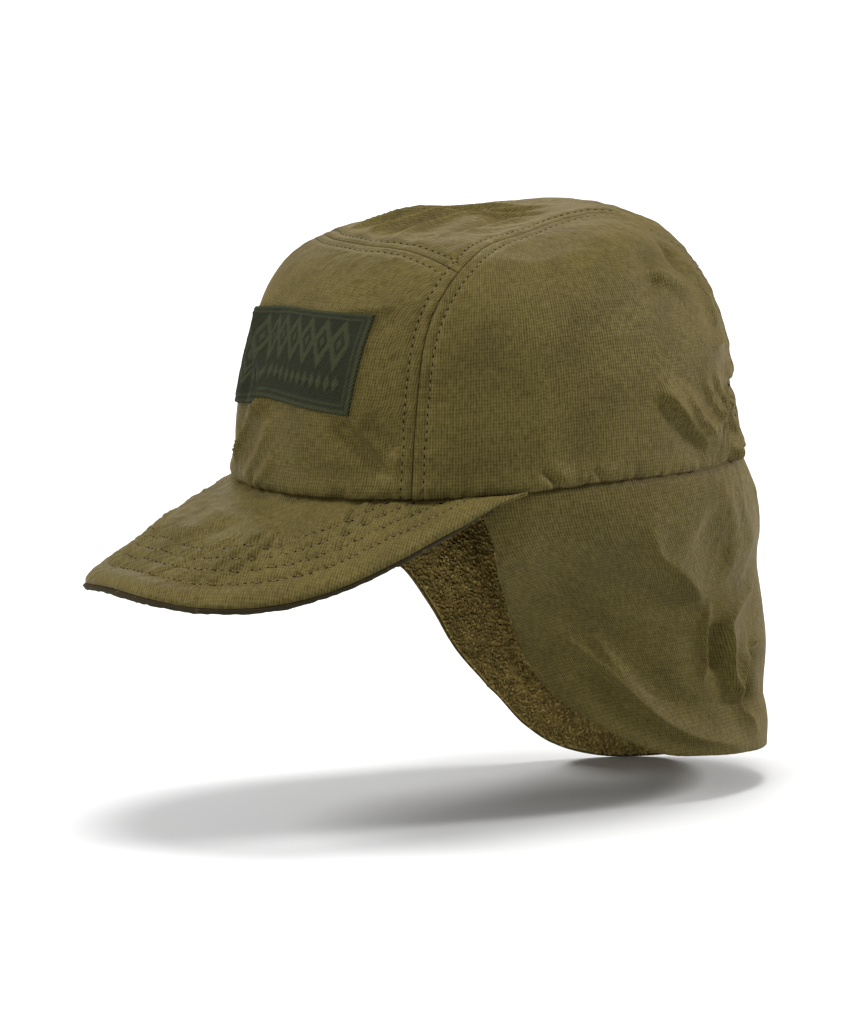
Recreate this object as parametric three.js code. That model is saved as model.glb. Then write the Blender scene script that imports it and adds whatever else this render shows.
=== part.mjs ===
// A soft winter cap with a short peak and one long flap that covers the ears and the neck.
// The crown is sewn from five padded panels: a front panel, two side panels, a top panel that runs
// back over the head, and a back panel that is gathered where it is drawn in.
// The peak and the flap are both faced with fleece, and a woven badge is sewn on the front panel.
// Millimetres. +Z is up, -Y is the front, +X is the wearer's left.
// The origin is the middle of the head opening, level with the seam round the crown's lower edge.
import * as THREE from "three";

// Head opening and crown, measured on the outside
const RIM_HALF_WIDTH = 85;
const RIM_HALF_LENGTH = 102.5;
const CROWN_HEIGHT = 96.5;
const PLAN_SQUARENESS = 2.1;
const SIDE_SQUARENESS = 4;
const RIM_LIFT_OVER_EARS = 2;

// Share of its size by which the crown narrows over 100 mm of height
const LEAN_FRONT = 0.1;
const LEAN_BACK = 0.1;
const LEAN_SIDES = 0.035;

// Wall thicknesses
const CROWN_WALL = 3;
const FLAP_CLOTH = 1.3;
const FLAP_FLEECE = 3;
const PEAK_COVER = 2.2;
const PEAK_FLEECE = 2.2;
const PEAK_EDGE_SHARE = 0.65;
const BADGE_THICKNESS = 1.2;
const BADGE_CLEARANCE = 0.5;
const SEAM_GAP = 0.7;

// Badge on the front panel
const BADGE_EDGES = [
  { z: 34, halfAngle: 31.6 },
  { z: 76, halfAngle: 35.6 },
];

// Flap lip: the free edge turns outwards over this width
const LIP_WIDTH = 20;
const LIP_FLARE = 6.5;
const LIP_BEND = 1.2;

// Gathers round the back of the crown, just above the seam
const GATHER_PITCH = 13;
const GATHER_DEPTH = 0.8;
const GATHER_HEIGHT = 14;

// How far the padding stands up in the middle of each crown panel
const PANEL_PUFF = 1;
const TOP_PANEL_PUFF = 0.4;

// Side seam of the crown, from the peak over the top to the back: guide points on the wearer's left,
// before the walls lean in
const SIDE_SEAM = [
  { x: 64.3, y: -69.6, z: 0 },
  { x: 64, y: -69, z: 17 },
  { x: 63.9, y: -67.7, z: 34 },
  { x: 63.5, y: -65.1, z: 58 },
  { x: 61.7, y: -59.8, z: 69.2 },
  { x: 59.9, y: -51.5, z: 79.7 },
  { x: 58, y: -46, z: 84 },
  { x: 55, y: -38.4, z: 88.5 },
  { x: 45.2, y: -20.7, z: 94.3 },
  { x: 39.5, y: -3.2, z: 95.7 },
  { x: 33.3, y: 13.3, z: 95.8 },
  { x: 30.2, y: 33.3, z: 95.5 },
  { x: 30.2, y: 47.5, z: 94.5 },
  { x: 32, y: 62.5, z: 89.5 },
  { x: 34, y: 73, z: 82.5 },
  { x: 37, y: 82.4, z: 71 },
  { x: 42, y: 88.5, z: 51 },
  { x: 47, y: 90, z: 31 },
  { x: 46, y: 90, z: 0 },
];
const FRONT_CORNER_ROW = 6;
const BACK_CORNER_ROW = 15;

// Share of the side seam that stands upright at each end of the side panel
const SIDE_RISER = 0.24;

// Seams across the crown between the two side seams: middle points, the ends are the corners
const FRONT_CROSS_SEAM = [
  { x: 34, y: -55, z: 89.5 },
  { x: 13, y: -63.5, z: 92 },
  { x: -13, y: -63.5, z: 92 },
  { x: -34, y: -55, z: 89.5 },
];
const BACK_CROSS_SEAM = [
  { x: 17, y: 88, z: 72 },
  { x: -17, y: 88, z: 72 },
];

// How much higher than the plain dome the top stands, along the length of the crown
const TOP_LIFT = [
  { y: -104, lift: -1 },
  { y: -77, lift: -1 },
  { y: -59, lift: 0 },
  { y: -38, lift: 0 },
  { y: -18, lift: -1.2 },
  { y: 0, lift: -0.8 },
  { y: 18, lift: 1.2 },
  { y: 36, lift: 3.3 },
  { y: 47, lift: 3.6 },
  { y: 55, lift: 2.6 },
  { y: 62, lift: 0 },
  { y: 73, lift: -0.5 },
  { y: 84, lift: 1 },
  { y: 104, lift: 1 },
];

// Folds and hollows of the crown cloth: a line, how far it stands out, and how wide it is
const CROWN_FOLDS = [
  { from: [-35, -88, 54], to: [5, -98, 54], out: -3, width: 26 },
  { from: [-10, -102, 30], to: [-6, -94, 66], out: -2.4, width: 9 },
  { from: [-10, -102, 30], to: [-30, -98, 6], out: 1.5, width: 7 },
  { from: [0, 66, 88], to: [0, 80, 78], out: 3.5, width: 17 },
  { from: [0, -15, 98], to: [0, 25, 98], out: -1.5, width: 22 },
  { from: [79, 37, 31], to: [58, 77, 4], out: 2.2, width: 6 },
  { from: [80, 48, 14], to: [66, 66, 3], out: -1.6, width: 7 },
  { from: [47, 48, 84], to: [46, 60, 78], out: -2.5, width: 8 },
  { from: [40, 92, 31], to: [0, 104, 30], out: -4, width: 7 },
  { from: [0, 104, 30], to: [-40, 92, 31], out: -4, width: 7 },
];

// Peak, at its free edge: angle round the rim from the front, and the edge's place
const PEAK_EDGE = [
  { angle: 0, x: 0, y: -168, z: -30.5 },
  { angle: 12, x: 25, y: -165.5, z: -31.5 },
  { angle: 22, x: 45, y: -156, z: -33.3 },
  { angle: 32, x: 62, y: -141, z: -33 },
  { angle: 42, x: 74, y: -125.5, z: -30.5 },
  { angle: 50, x: 81, y: -108, z: -25.5 },
  { angle: 57, x: 85, y: -88, z: -18 },
  { angle: 63, x: 87, y: -68, z: -10 },
  { angle: 69, x: 88, y: -48, z: -3.5 },
  { angle: 74, x: 87.5, y: -30, z: 0 },
];
const PEAK_CROWNING = 0.8;

// Flap, cut level: depth below the rim, half width, how far back it reaches, and its middle
const FLAP_SECTIONS = [
  { z: 6, halfWidth: 85, back: 102.5, middle: 0 },
  { z: 0, halfWidth: 85, back: 102.5, middle: 0 },
  { z: -9, halfWidth: 84.5, back: 107.5, middle: 2 },
  { z: -21, halfWidth: 80, back: 110, middle: 8 },
  { z: -35, halfWidth: 71, back: 112, middle: 20 },
  { z: -49, halfWidth: 62, back: 113.5, middle: 30 },
  { z: -66, halfWidth: 57, back: 116.5, middle: 40 },
  { z: -82, halfWidth: 54, back: 117, middle: 47 },
  { z: -100, halfWidth: 51.5, back: 113, middle: 54 },
  { z: -110, halfWidth: 50, back: 110, middle: 56 },
  { z: -120, halfWidth: 48.5, back: 106.5, middle: 57 },
  { z: -136, halfWidth: 47.5, back: 101, middle: 57 },
];

// Free edge of the flap: angle from the middle of the back, plus on the wearer's left, and height.
// It hangs a little lower on the wearer's right.
const FLAP_LEFT_EDGE = [
  { angle: 117, z: 0 },
  { angle: 115.5, z: -19 },
  { angle: 120, z: -33 },
  { angle: 125.5, z: -49 },
  { angle: 130, z: -65 },
  { angle: 129.5, z: -79 },
  { angle: 124.5, z: -92 },
];
const FLAP_HEM = [
  { angle: 124.5, z: -92 },
  { angle: 115, z: -104 },
  { angle: 100, z: -113.5 },
  { angle: 80, z: -117.5 },
  { angle: 53, z: -119 },
  { angle: 20, z: -121 },
  { angle: -15, z: -124.5 },
  { angle: -45, z: -129 },
  { angle: -68, z: -129.5 },
  { angle: -88, z: -125.5 },
  { angle: -102, z: -116.5 },
  { angle: -113, z: -99 },
];
const FLAP_RIGHT_EDGE = [
  { angle: -117, z: 0 },
  { angle: -116, z: -19 },
  { angle: -113, z: -33 },
  { angle: -110.5, z: -47 },
  { angle: -114, z: -63 },
  { angle: -117.5, z: -81 },
  { angle: -113, z: -99 },
];

const FLAP_FOLDS = [
  { from: [49, 78, -63], to: [43, 88, -87], out: 3, width: 8 },
  { from: [43, 88, -87], to: [25, 108, -110], out: 3, width: 8 },
  { from: [35, 98, -52], to: [22, 110, -96], out: -5.5, width: 10 },
  { from: [81, 28, -14], to: [60, 58, -46], out: 2, width: 9 },
  { from: [-30, 104, -45], to: [-24, 110, -95], out: -4, width: 10 },
  { from: [-56, 62, -60], to: [-48, 78, -105], out: 2.5, width: 9 },
];

// Cells of each wall: across, then up or down
const FRONT_CELLS = [24, 12];
const TOP_CELLS = [14, 12];
const SIDE_CELLS = [24, 12];
const BACK_CELLS = [12, 10];
const FLAP_CELLS = [42, 12];
const PEAK_CELLS = [28, 5];
const BADGE_CELLS = [16, 7];

// Colours, as they show on the cloth
const OLIVE_CLOTH = { color: 0x6f6339, roughness: 0.62 };
const OLIVE_FLEECE = { color: 0x5c4b22, roughness: 1 };
const DARK_GREEN_WEAVE = { color: 0x363b2c, roughness: 0.9 };

const radians = THREE.MathUtils.degToRad;
const { lerp, smoothstep } = THREE.MathUtils;

// A smooth curve through the rows of a table, read by one rising or falling column.
function tableValue(rows, key, at, column) {
  const falling = rows[0][key] > rows[rows.length - 1][key];
  const sorted = falling ? [...rows].reverse() : rows;
  const last = sorted.length - 1;
  if (at <= sorted[0][key]) return sorted[0][column];
  if (at >= sorted[last][key]) return sorted[last][column];
  const i = sorted.findIndex((row) => row[key] > at) - 1;
  const span = sorted[i + 1][key] - sorted[i][key];
  const slope = (k) => {
    const a = sorted[Math.max(0, k - 1)];
    const b = sorted[Math.min(last, k + 1)];
    return (b[column] - a[column]) / (b[key] - a[key]);
  };
  const t = (at - sorted[i][key]) / span;
  const near = 2 * t ** 3 - 3 * t ** 2 + 1;
  const leave = t ** 3 - 2 * t ** 2 + t;
  const arrive = t ** 3 - t ** 2;
  return (
    near * sorted[i][column] +
    leave * span * slope(i) +
    (1 - near) * sorted[i + 1][column] +
    arrive * span * slope(i + 1)
  );
}

// The seam round the crown's lower edge rises a little over the ears.
function rimHeight(y) {
  return RIM_LIFT_OVER_EARS * Math.exp(-(((y - 2) / 42) ** 2));
}

// A point of a squared oval, at an angle from the middle of the back.
function ovalPoint(degrees, halfWidth, halfLength) {
  const s = Math.sin(radians(degrees));
  const c = Math.cos(radians(degrees));
  const power = 2 / PLAN_SQUARENESS;
  const x = halfWidth * Math.sign(s) * Math.abs(s) ** power;
  const y = halfLength * Math.sign(c) * Math.abs(c) ** power;
  return [x, y];
}

// How far folds push a point outwards.
function foldHeight(point, folds) {
  let sum = 0;
  for (const fold of folds) {
    const line = new THREE.Line3(new THREE.Vector3(...fold.from), new THREE.Vector3(...fold.to));
    const nearest = line.closestPointToPoint(point, true, new THREE.Vector3());
    sum += fold.out * Math.exp(-((nearest.distanceTo(point) / fold.width) ** 2));
  }
  return sum;
}

// The plain dome, met by the line from the origin through a guide point.
function domePoint(guide) {
  const across = (Math.abs(guide.x) / RIM_HALF_WIDTH) ** PLAN_SQUARENESS;
  const lengthwise = (Math.abs(guide.y) / RIM_HALF_LENGTH) ** PLAN_SQUARENESS;
  const plan = (across + lengthwise) ** (SIDE_SQUARENESS / PLAN_SQUARENESS);
  const reach = plan + (Math.max(0, guide.z) / CROWN_HEIGHT) ** SIDE_SQUARENESS;
  return guide.clone().multiplyScalar(reach ** (-1 / SIDE_SQUARENESS));
}

function domeNormal(point) {
  const px = (Math.abs(point.x) / RIM_HALF_WIDTH) ** PLAN_SQUARENESS;
  const py = (Math.abs(point.y) / RIM_HALF_LENGTH) ** PLAN_SQUARENESS;
  const plan = (px + py) ** (SIDE_SQUARENESS / PLAN_SQUARENESS - 1);
  const safe = (value) => (Math.abs(value) < 1e-6 ? 1e-6 : value);
  return new THREE.Vector3(
    (plan * px) / safe(point.x),
    (plan * py) / safe(point.y),
    (Math.max(0, point.z) / CROWN_HEIGHT) ** SIDE_SQUARENESS / safe(point.z),
  ).normalize();
}

// The crown's outer face at a guide point, some way out from it.
function crownPoint(guide, out) {
  const dome = domePoint(guide);
  const normal = domeNormal(dome);
  const point = dome.clone();
  const nearTop = smoothstep(dome.z, 55, 92);
  point.z += tableValue(TOP_LIFT, "y", dome.y, "lift") * nearTop;
  point.x *= 1 - (LEAN_SIDES * dome.z) / 100;
  point.y *= 1 - ((dome.y < 0 ? LEAN_FRONT : LEAN_BACK) * dome.z) / 100;
  const aboveRim = dome.z - rimHeight(dome.y);
  const atBack = smoothstep(dome.y, 40, 80);
  const along = Math.atan2(dome.x, dome.y) * RIM_HALF_LENGTH;
  const wave = Math.cos((2 * Math.PI * along) / GATHER_PITCH);
  const gather = GATHER_DEPTH * atBack * Math.exp(-((aboveRim / GATHER_HEIGHT) ** 2)) * wave;
  return point.addScaledVector(normal, out + gather + foldHeight(dome, CROWN_FOLDS));
}

// The flap's outer face at an angle from the middle of the back and a height.
function flapFace(degrees, z) {
  const section = (column) => tableValue(FLAP_SECTIONS, "z", z, column);
  const middle = section("middle");
  const [x, y] = ovalPoint(degrees, section("halfWidth"), section("back") - middle);
  return new THREE.Vector3(x, middle + y, z);
}

function flapNormal(degrees, z) {
  const across = flapFace(degrees + 1, z).sub(flapFace(degrees - 1, z));
  const down = flapFace(degrees, z - 1).sub(flapFace(degrees, z + 1));
  return across.cross(down).normalize();
}

// A closed wall between an outer and an inner grid of points, both rows of columns.
function wall(outer, inner) {
  const rows = outer.length;
  const columns = outer[0].length;
  const positions = [...outer.flat(), ...inner.flat()].flatMap((p) => [p.x, p.y, p.z]);
  const at = (layer, r, c) => layer * rows * columns + r * columns + c;
  const index = [];
  const quad = (a, b, c, d) => index.push(a, b, c, a, c, d);
  for (let r = 0; r < rows - 1; r++) {
    for (let c = 0; c < columns - 1; c++) {
      quad(at(0, r, c), at(0, r, c + 1), at(0, r + 1, c + 1), at(0, r + 1, c));
      quad(at(1, r, c), at(1, r + 1, c), at(1, r + 1, c + 1), at(1, r, c + 1));
    }
    const end = columns - 1;
    quad(at(0, r, 0), at(0, r + 1, 0), at(1, r + 1, 0), at(1, r, 0));
    quad(at(0, r, end), at(1, r, end), at(1, r + 1, end), at(0, r + 1, end));
  }
  for (let c = 0; c < columns - 1; c++) {
    const end = rows - 1;
    quad(at(0, 0, c), at(1, 0, c), at(1, 0, c + 1), at(0, 0, c + 1));
    quad(at(0, end, c), at(0, end, c + 1), at(1, end, c + 1), at(1, end, c));
  }
  const geometry = new THREE.BufferGeometry();
  geometry.setAttribute("position", new THREE.Float32BufferAttribute(positions, 3));
  geometry.setIndex(index);
  geometry.computeVertexNormals();
  return geometry;
}

function piece(name, geometry, finish) {
  const mesh = new THREE.Mesh(geometry, new THREE.MeshStandardMaterial({ ...finish, metalness: 0 }));
  mesh.name = name;
  return mesh;
}

// A grid filled in between four edge curves: bottom and top run across, left and right run up.
function filledGrid([across, up], edges, size) {
  const inset = [SEAM_GAP / 2 / size[0], SEAM_GAP / 2 / size[1]];
  const grid = [];
  for (let r = 0; r <= up; r++) {
    const v = lerp(inset[1], 1 - inset[1], r / up);
    const row = [];
    for (let c = 0; c <= across; c++) {
      const u = lerp(inset[0], 1 - inset[0], c / across);
      const ruledUp = edges.bottom(u).lerp(edges.top(u), v);
      const ruledAcross = edges.left(v).lerp(edges.right(v), u);
      const low = edges.bottom(0).lerp(edges.bottom(1), u);
      const high = edges.top(0).lerp(edges.top(1), u);
      row.push({ u, v, guide: ruledUp.add(ruledAcross).sub(low.lerp(high, v)) });
    }
    grid.push(row);
  }
  return grid;
}

function curveThrough(points) {
  const curve = new THREE.CatmullRomCurve3(points, false, "centripetal");
  return (t) => curve.getPointAt(THREE.MathUtils.clamp(t, 0, 1));
}

function guidePoints(rows, side) {
  return rows.map((row) => domePoint(new THREE.Vector3(row.x * side, row.y, row.z)));
}

function reversed(curve) {
  return (t) => curve(1 - t);
}

// The crown's lower edge between two angles from the middle of the back.
function rimCurve(from, to) {
  return (t) => {
    const [x, y] = ovalPoint(lerp(from, to, t), RIM_HALF_WIDTH, RIM_HALF_LENGTH);
    return new THREE.Vector3(x, y, rimHeight(y) + SEAM_GAP / 2);
  };
}

// The angle from the middle of the back at which a side seam meets the rim.
function rimAngle(row) {
  const power = PLAN_SQUARENESS / 2;
  const s = (row.x / RIM_HALF_WIDTH) ** power;
  const c = Math.sign(row.y) * (Math.abs(row.y) / RIM_HALF_LENGTH) ** power;
  return THREE.MathUtils.radToDeg(Math.atan2(s, c));
}

function crownPanel(name, cells, puffHeight, edges) {
  const size = [edges.bottom, edges.left].map((curve) => {
    const steps = Array.from({ length: 13 }, (_, i) => curve(i / 12));
    return steps.slice(1).reduce((sum, p, i) => sum + p.distanceTo(steps[i]), 0);
  });
  const grid = filledGrid(cells, edges, size);
  const shell = (depth) =>
    grid.map((row) =>
      row.map(({ u, v, guide }) => {
        const puff = puffHeight * (1 - (2 * u - 1) ** 4) * (1 - (2 * v - 1) ** 4);
        return crownPoint(guide, puff - depth);
      }),
    );
  return piece(name, wall(shell(0), shell(CROWN_WALL)), OLIVE_CLOTH);
}

function crownPanels() {
  const frontRim = rimAngle(SIDE_SEAM[0]);
  const backRim = rimAngle(SIDE_SEAM[SIDE_SEAM.length - 1]);
  const lastRow = SIDE_SEAM.length - 1;
  const seam = (first, last, side) => curveThrough(guidePoints(SIDE_SEAM.slice(first, last + 1), side));
  const cross = (ends, middle) => curveThrough([ends(1), ...guidePoints(middle, 1), ends(-1)]);
  const corner = (row) => (side) => guidePoints([SIDE_SEAM[row]], side)[0];
  const frontCross = cross(corner(FRONT_CORNER_ROW), FRONT_CROSS_SEAM);
  const backCross = cross(corner(BACK_CORNER_ROW), BACK_CROSS_SEAM);
  const overTop = (side) => seam(FRONT_CORNER_ROW, BACK_CORNER_ROW, side);
  const upFront = (side) => seam(0, FRONT_CORNER_ROW, side);
  const downBack = (side) => seam(BACK_CORNER_ROW, lastRow, side);
  const wholeSeam = (side) => seam(0, lastRow, side);
  return [
    crownPanel("front_panel", FRONT_CELLS, PANEL_PUFF, {
      bottom: rimCurve(-frontRim, frontRim - 360),
      top: reversed(frontCross),
      left: upFront(-1),
      right: upFront(1),
    }),
    crownPanel("top_panel", TOP_CELLS, TOP_PANEL_PUFF, {
      bottom: reversed(frontCross),
      top: reversed(backCross),
      left: overTop(-1),
      right: overTop(1),
    }),
    crownPanel("back_panel", BACK_CELLS, PANEL_PUFF, {
      bottom: rimCurve(backRim, -backRim),
      top: backCross,
      left: reversed(downBack(1)),
      right: reversed(downBack(-1)),
    }),
    ...[1, -1].map((side) => sidePanel(side, wholeSeam(side), frontRim, backRim)),
  ];
}

// A side panel is one piece from the rim up to the long side seam, which bounds it on three sides.
function sidePanel(side, seam, frontRim, backRim) {
  const front = (t) => seam(SIDE_RISER * t);
  const back = (t) => seam(1 - SIDE_RISER * t);
  const top = (t) => seam(lerp(SIDE_RISER, 1 - SIDE_RISER, t));
  const bottom = rimCurve(side * frontRim, side * backRim);
  if (side > 0) {
    return crownPanel("side_panel_left", SIDE_CELLS, PANEL_PUFF, { bottom, top, left: front, right: back });
  }
  const mirrored = { bottom: reversed(bottom), top: reversed(top), left: back, right: front };
  return crownPanel("side_panel_right", SIDE_CELLS, PANEL_PUFF, mirrored);
}

function badge() {
  const [across, up] = BADGE_CELLS;
  const [bottom, top] = BADGE_EDGES;
  const layer = (out) =>
    Array.from({ length: up + 1 }, (_, r) =>
      Array.from({ length: across + 1 }, (_, c) => {
        const half = lerp(bottom.halfAngle, top.halfAngle, r / up);
        const [x, y] = ovalPoint(180 + lerp(half, -half, c / across), RIM_HALF_WIDTH, RIM_HALF_LENGTH);
        const z = lerp(bottom.z, top.z, r / up);
        return crownPoint(new THREE.Vector3(x, y, z), PANEL_PUFF + BADGE_CLEARANCE + out);
      }),
    );
  return piece("badge", wall(layer(BADGE_THICKNESS), layer(0)), DARK_GREEN_WEAVE);
}

// Both peak layers share one face: it runs from under the crown's edge out to the free edge.
function peakLayer(name, top, thickness, finish) {
  const [across, out] = PEAK_CELLS;
  const widest = PEAK_EDGE[PEAK_EDGE.length - 1].angle;
  const face = (drop) =>
    Array.from({ length: out + 1 }, (_, r) =>
      Array.from({ length: across + 1 }, (_, c) => {
        const angle = lerp(-widest, widest, c / across);
        const edge = (column) => tableValue(PEAK_EDGE, "angle", Math.abs(angle), column);
        const clearOfFlap = smoothstep(Math.abs(angle), 56, 62);
        const tuck = lerp(-1.8, 1.6, clearOfFlap);
        const [x, y] = ovalPoint(180 - angle, RIM_HALF_WIDTH + tuck, RIM_HALF_LENGTH + tuck);
        const root = new THREE.Vector3(x, y, rimHeight(y) - SEAM_GAP / 2);
        const tip = new THREE.Vector3(Math.sign(angle) * edge("x"), edge("y"), edge("z"));
        const s = 1 - r / out;
        const point = root.lerp(tip, s);
        point.z += PEAK_CROWNING * 4 * s * (1 - s) * Math.cos(radians(angle));
        point.z -= drop * lerp(1, PEAK_EDGE_SHARE, s ** 3);
        return point;
      }),
    );
  return piece(name, wall(face(top), face(top + thickness)), finish);
}

// The flap's grid: from the wearer's right round the back to the left, and from the rim down.
function flapGrid() {
  const flat = (rows) => curveThrough(rows.map((row) => new THREE.Vector3(row.angle, row.z, 0)));
  const ends = [FLAP_RIGHT_EDGE[0].angle, FLAP_LEFT_EDGE[0].angle];
  const edges = {
    bottom: (t) => new THREE.Vector3(lerp(ends[0], ends[1], t), 0, 0),
    top: reversed(flat(FLAP_HEM)),
    left: flat(FLAP_RIGHT_EDGE),
    right: flat(FLAP_LEFT_EDGE),
  };
  return filledGrid(FLAP_CELLS, edges, [400, 110]);
}

// How far a place on the flap lies from its free edge, in millimetres.
function distanceToEdge(point, edgePoints) {
  return Math.min(...edgePoints.map((p) => p.distanceTo(point)));
}

function flapEdgePoints() {
  const free = [FLAP_LEFT_EDGE, FLAP_HEM, FLAP_RIGHT_EDGE].flatMap((rows) => {
    const curve = curveThrough(rows.map((row) => new THREE.Vector3(row.angle, row.z, 0)));
    return Array.from({ length: 33 }, (_, i) => curve(i / 32));
  });
  return free.map((p) => flapFace(p.x, p.y));
}

function flapLayer(name, grid, edgePoints, start, thickness, finish) {
  const layer = (depth) =>
    grid.map((row) =>
      row.map(({ v, guide }) => {
        const rimTop = rimHeight(flapFace(guide.x, 0).y) - SEAM_GAP / 2;
        const z = guide.y + rimTop * (1 - v);
        const face = flapFace(guide.x, z);
        const normal = flapNormal(guide.x, z);
        const lip = Math.max(0, 1 - distanceToEdge(face, edgePoints) / LIP_WIDTH) ** LIP_BEND;
        const belowRim = smoothstep(-z, 2, 26);
        const out = foldHeight(face, FLAP_FOLDS) + LIP_FLARE * lip * belowRim;
        return face.addScaledVector(normal, out * belowRim - depth);
      }),
    );
  return piece(name, wall(layer(start), layer(start + thickness)), finish);
}

const cap = new THREE.Group();
cap.add(...crownPanels());
cap.add(badge());
cap.add(peakLayer("peak_cover", 0, PEAK_COVER, OLIVE_CLOTH));
cap.add(peakLayer("peak_fleece", PEAK_COVER + SEAM_GAP, PEAK_FLEECE, OLIVE_FLEECE));
const grid = flapGrid();
const edgePoints = flapEdgePoints();
cap.add(flapLayer("flap_cloth", grid, edgePoints, 0, FLAP_CLOTH, OLIVE_CLOTH));
cap.add(flapLayer("flap_fleece", grid, edgePoints, FLAP_CLOTH + SEAM_GAP, FLAP_FLEECE, OLIVE_FLEECE));

export default cap;
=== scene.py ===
# A soft winter cap: a rounded crown of five sewn panels, a short peak and one long flap over the ears
# and neck, both faced with fleece, and an embroidered badge on the front.
# Sizes are in millimetres until a mesh is made. -Y is the front, +X is the wearer's left, and the seam
# round the crown's lower edge is level with the origin.
import math
from itertools import product

import bpy
import numpy as np
from mathutils import Matrix, Vector
from mathutils.bvhtree import BVHTree


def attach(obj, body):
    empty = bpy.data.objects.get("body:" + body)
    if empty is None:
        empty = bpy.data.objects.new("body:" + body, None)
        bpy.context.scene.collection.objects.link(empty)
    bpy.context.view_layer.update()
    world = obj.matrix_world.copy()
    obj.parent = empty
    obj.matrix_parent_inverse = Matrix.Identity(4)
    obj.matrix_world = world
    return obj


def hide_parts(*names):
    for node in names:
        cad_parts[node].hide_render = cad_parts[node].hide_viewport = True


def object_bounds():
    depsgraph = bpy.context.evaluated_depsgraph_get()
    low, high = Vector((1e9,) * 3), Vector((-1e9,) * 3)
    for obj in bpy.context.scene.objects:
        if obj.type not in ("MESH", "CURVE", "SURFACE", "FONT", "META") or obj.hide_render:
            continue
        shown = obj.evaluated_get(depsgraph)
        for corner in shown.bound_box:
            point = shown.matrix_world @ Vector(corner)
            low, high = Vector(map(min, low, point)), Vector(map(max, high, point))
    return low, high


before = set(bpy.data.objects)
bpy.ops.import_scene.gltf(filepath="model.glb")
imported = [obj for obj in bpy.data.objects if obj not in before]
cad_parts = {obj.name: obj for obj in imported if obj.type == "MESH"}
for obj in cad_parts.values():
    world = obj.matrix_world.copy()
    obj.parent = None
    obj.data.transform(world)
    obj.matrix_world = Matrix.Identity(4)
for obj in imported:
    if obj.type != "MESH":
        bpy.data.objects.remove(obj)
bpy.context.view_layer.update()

# Crown panels
# Five panels of thin crinkled nylon over light padding, sewn edge to edge. Each seam lies in a groove
# between two rows of stitches, and the lower edge is turned under and gathered at the back.
RIM_HALF_WIDTH = 85
RIM_HALF_LENGTH = 102.5
CROWN_HEIGHT = 96.5
PLAN_SQUARENESS = 2.1
SIDE_SQUARENESS = 4
LEAN_FRONT_AND_BACK = 0.1
LEAN_SIDES = 0.035
CROWN_WALL = 3
PANEL_PUFF = 1
TOP_PANEL_PUFF = 0.4
WEAVE_STEP = 1.0
SEAM_GROOVE = 0.34
CREASE_DEPTH = 1.6
SHOULDER_DROP = 0.9
FAN_ROOT = (62, 71, 33)
STITCH_ROW = 4.3
# Heights in mm of the crumples, of the tucks along the lower edge and of its roll
CRUMPLE, CRUMPLE_AT_BACK, CRUMPLE_ON_TOP, UNEVEN = 0.34, 0.2, 0.55, 0.5
TUCKS, TUCKS_AT_BACK, DEEP_PINCH, SHALLOW_PINCH = 0.8, 1.5, 1.5, 0.9
RIM_ROLL, RIM_RADIUS = 1.1, 1.5
# Height and spacing of the waves into which the gathered lower edge draws the back
BACK_WAVE, BACK_WAVE_PITCH = 0.8, 13
# The seam over the wearer's left side, from the front of the lower edge to the back, on the dome
SIDE_SEAM = [
    (64.3, -69.6, 0), (64, -69, 17), (63.9, -67.7, 34), (63.5, -65.1, 58), (61.7, -59.8, 69.2),
    (59.9, -51.5, 79.7), (58, -46, 84), (55, -38.4, 88.5), (45.2, -20.7, 94.3), (39.5, -3.2, 95.7),
    (33.3, 13.3, 95.8), (30.2, 33.3, 95.5), (30.2, 47.5, 94.5), (32, 62.5, 89.5), (34, 73, 82.5),
    (37, 82.4, 71), (42, 88.5, 51), (47, 90, 31), (46, 90, 0),
]
# The rows of that seam where the cross seams end and where it ends itself, and the share of its length
# that bounds the side panel in front and at the back
FRONT_CORNER, BACK_CORNER, SEAM_END = 6, 15, len(SIDE_SEAM) - 1
SIDE_RISER = 0.24
FRONT_CROSS_SEAM = [(34, -55, 89.5), (13, -63.5, 92), (-13, -63.5, 92), (-34, -55, 89.5)]
BACK_CROSS_SEAM = [(17, 88, 72), (-17, 88, 72)]
# Place along the top from front to back, and how much higher than the dome the crown is there
TOP_LIFT = [
    (-104, -1), (-77, -1), (-59, 0), (-38, 0), (-18, -1.2), (0, -0.8), (18, 1.2), (36, 3.3), (47, 3.6),
    (55, 2.6), (62, 0), (73, -0.5), (84, 1), (104, 1),
]
# Height, width and points of each large hollow or swelling, on the dome before it leans
CROWN_FORMS = [
    (-3, 26, [(-35, -88, 54), (5, -98, 54)]),
    (-2.4, 9, [(-10, -102, 30), (-6, -94, 66)]),
    (1.5, 7, [(-10, -102, 30), (-30, -98, 6)]),
    (3.5, 17, [(0, 66, 88), (0, 80, 78)]),
    (-1.5, 22, [(0, -15, 98), (0, 25, 98)]),
    (3.6, 13, [(-14, -17, 96), (2, -6, 97)]),
    (-1, 9, [(-14, -42, 96), (2, -36, 97)]),
    (-1.3, 15, [(-34, -92, 8), (-12, -100, 16)]),
    (2.2, 6, [(79, 37, 31), (58, 77, 4)]),
    (-1.6, 7, [(80, 48, 14), (66, 66, 3)]),
    (-2.5, 8, [(47, 48, 84), (46, 60, 78)]),
    (-1.4, 7, [(46, 87, 26), (0, 104, 26)]),
    (-1.4, 7, [(0, 104, 26), (-46, 87, 26)]),
]
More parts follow.
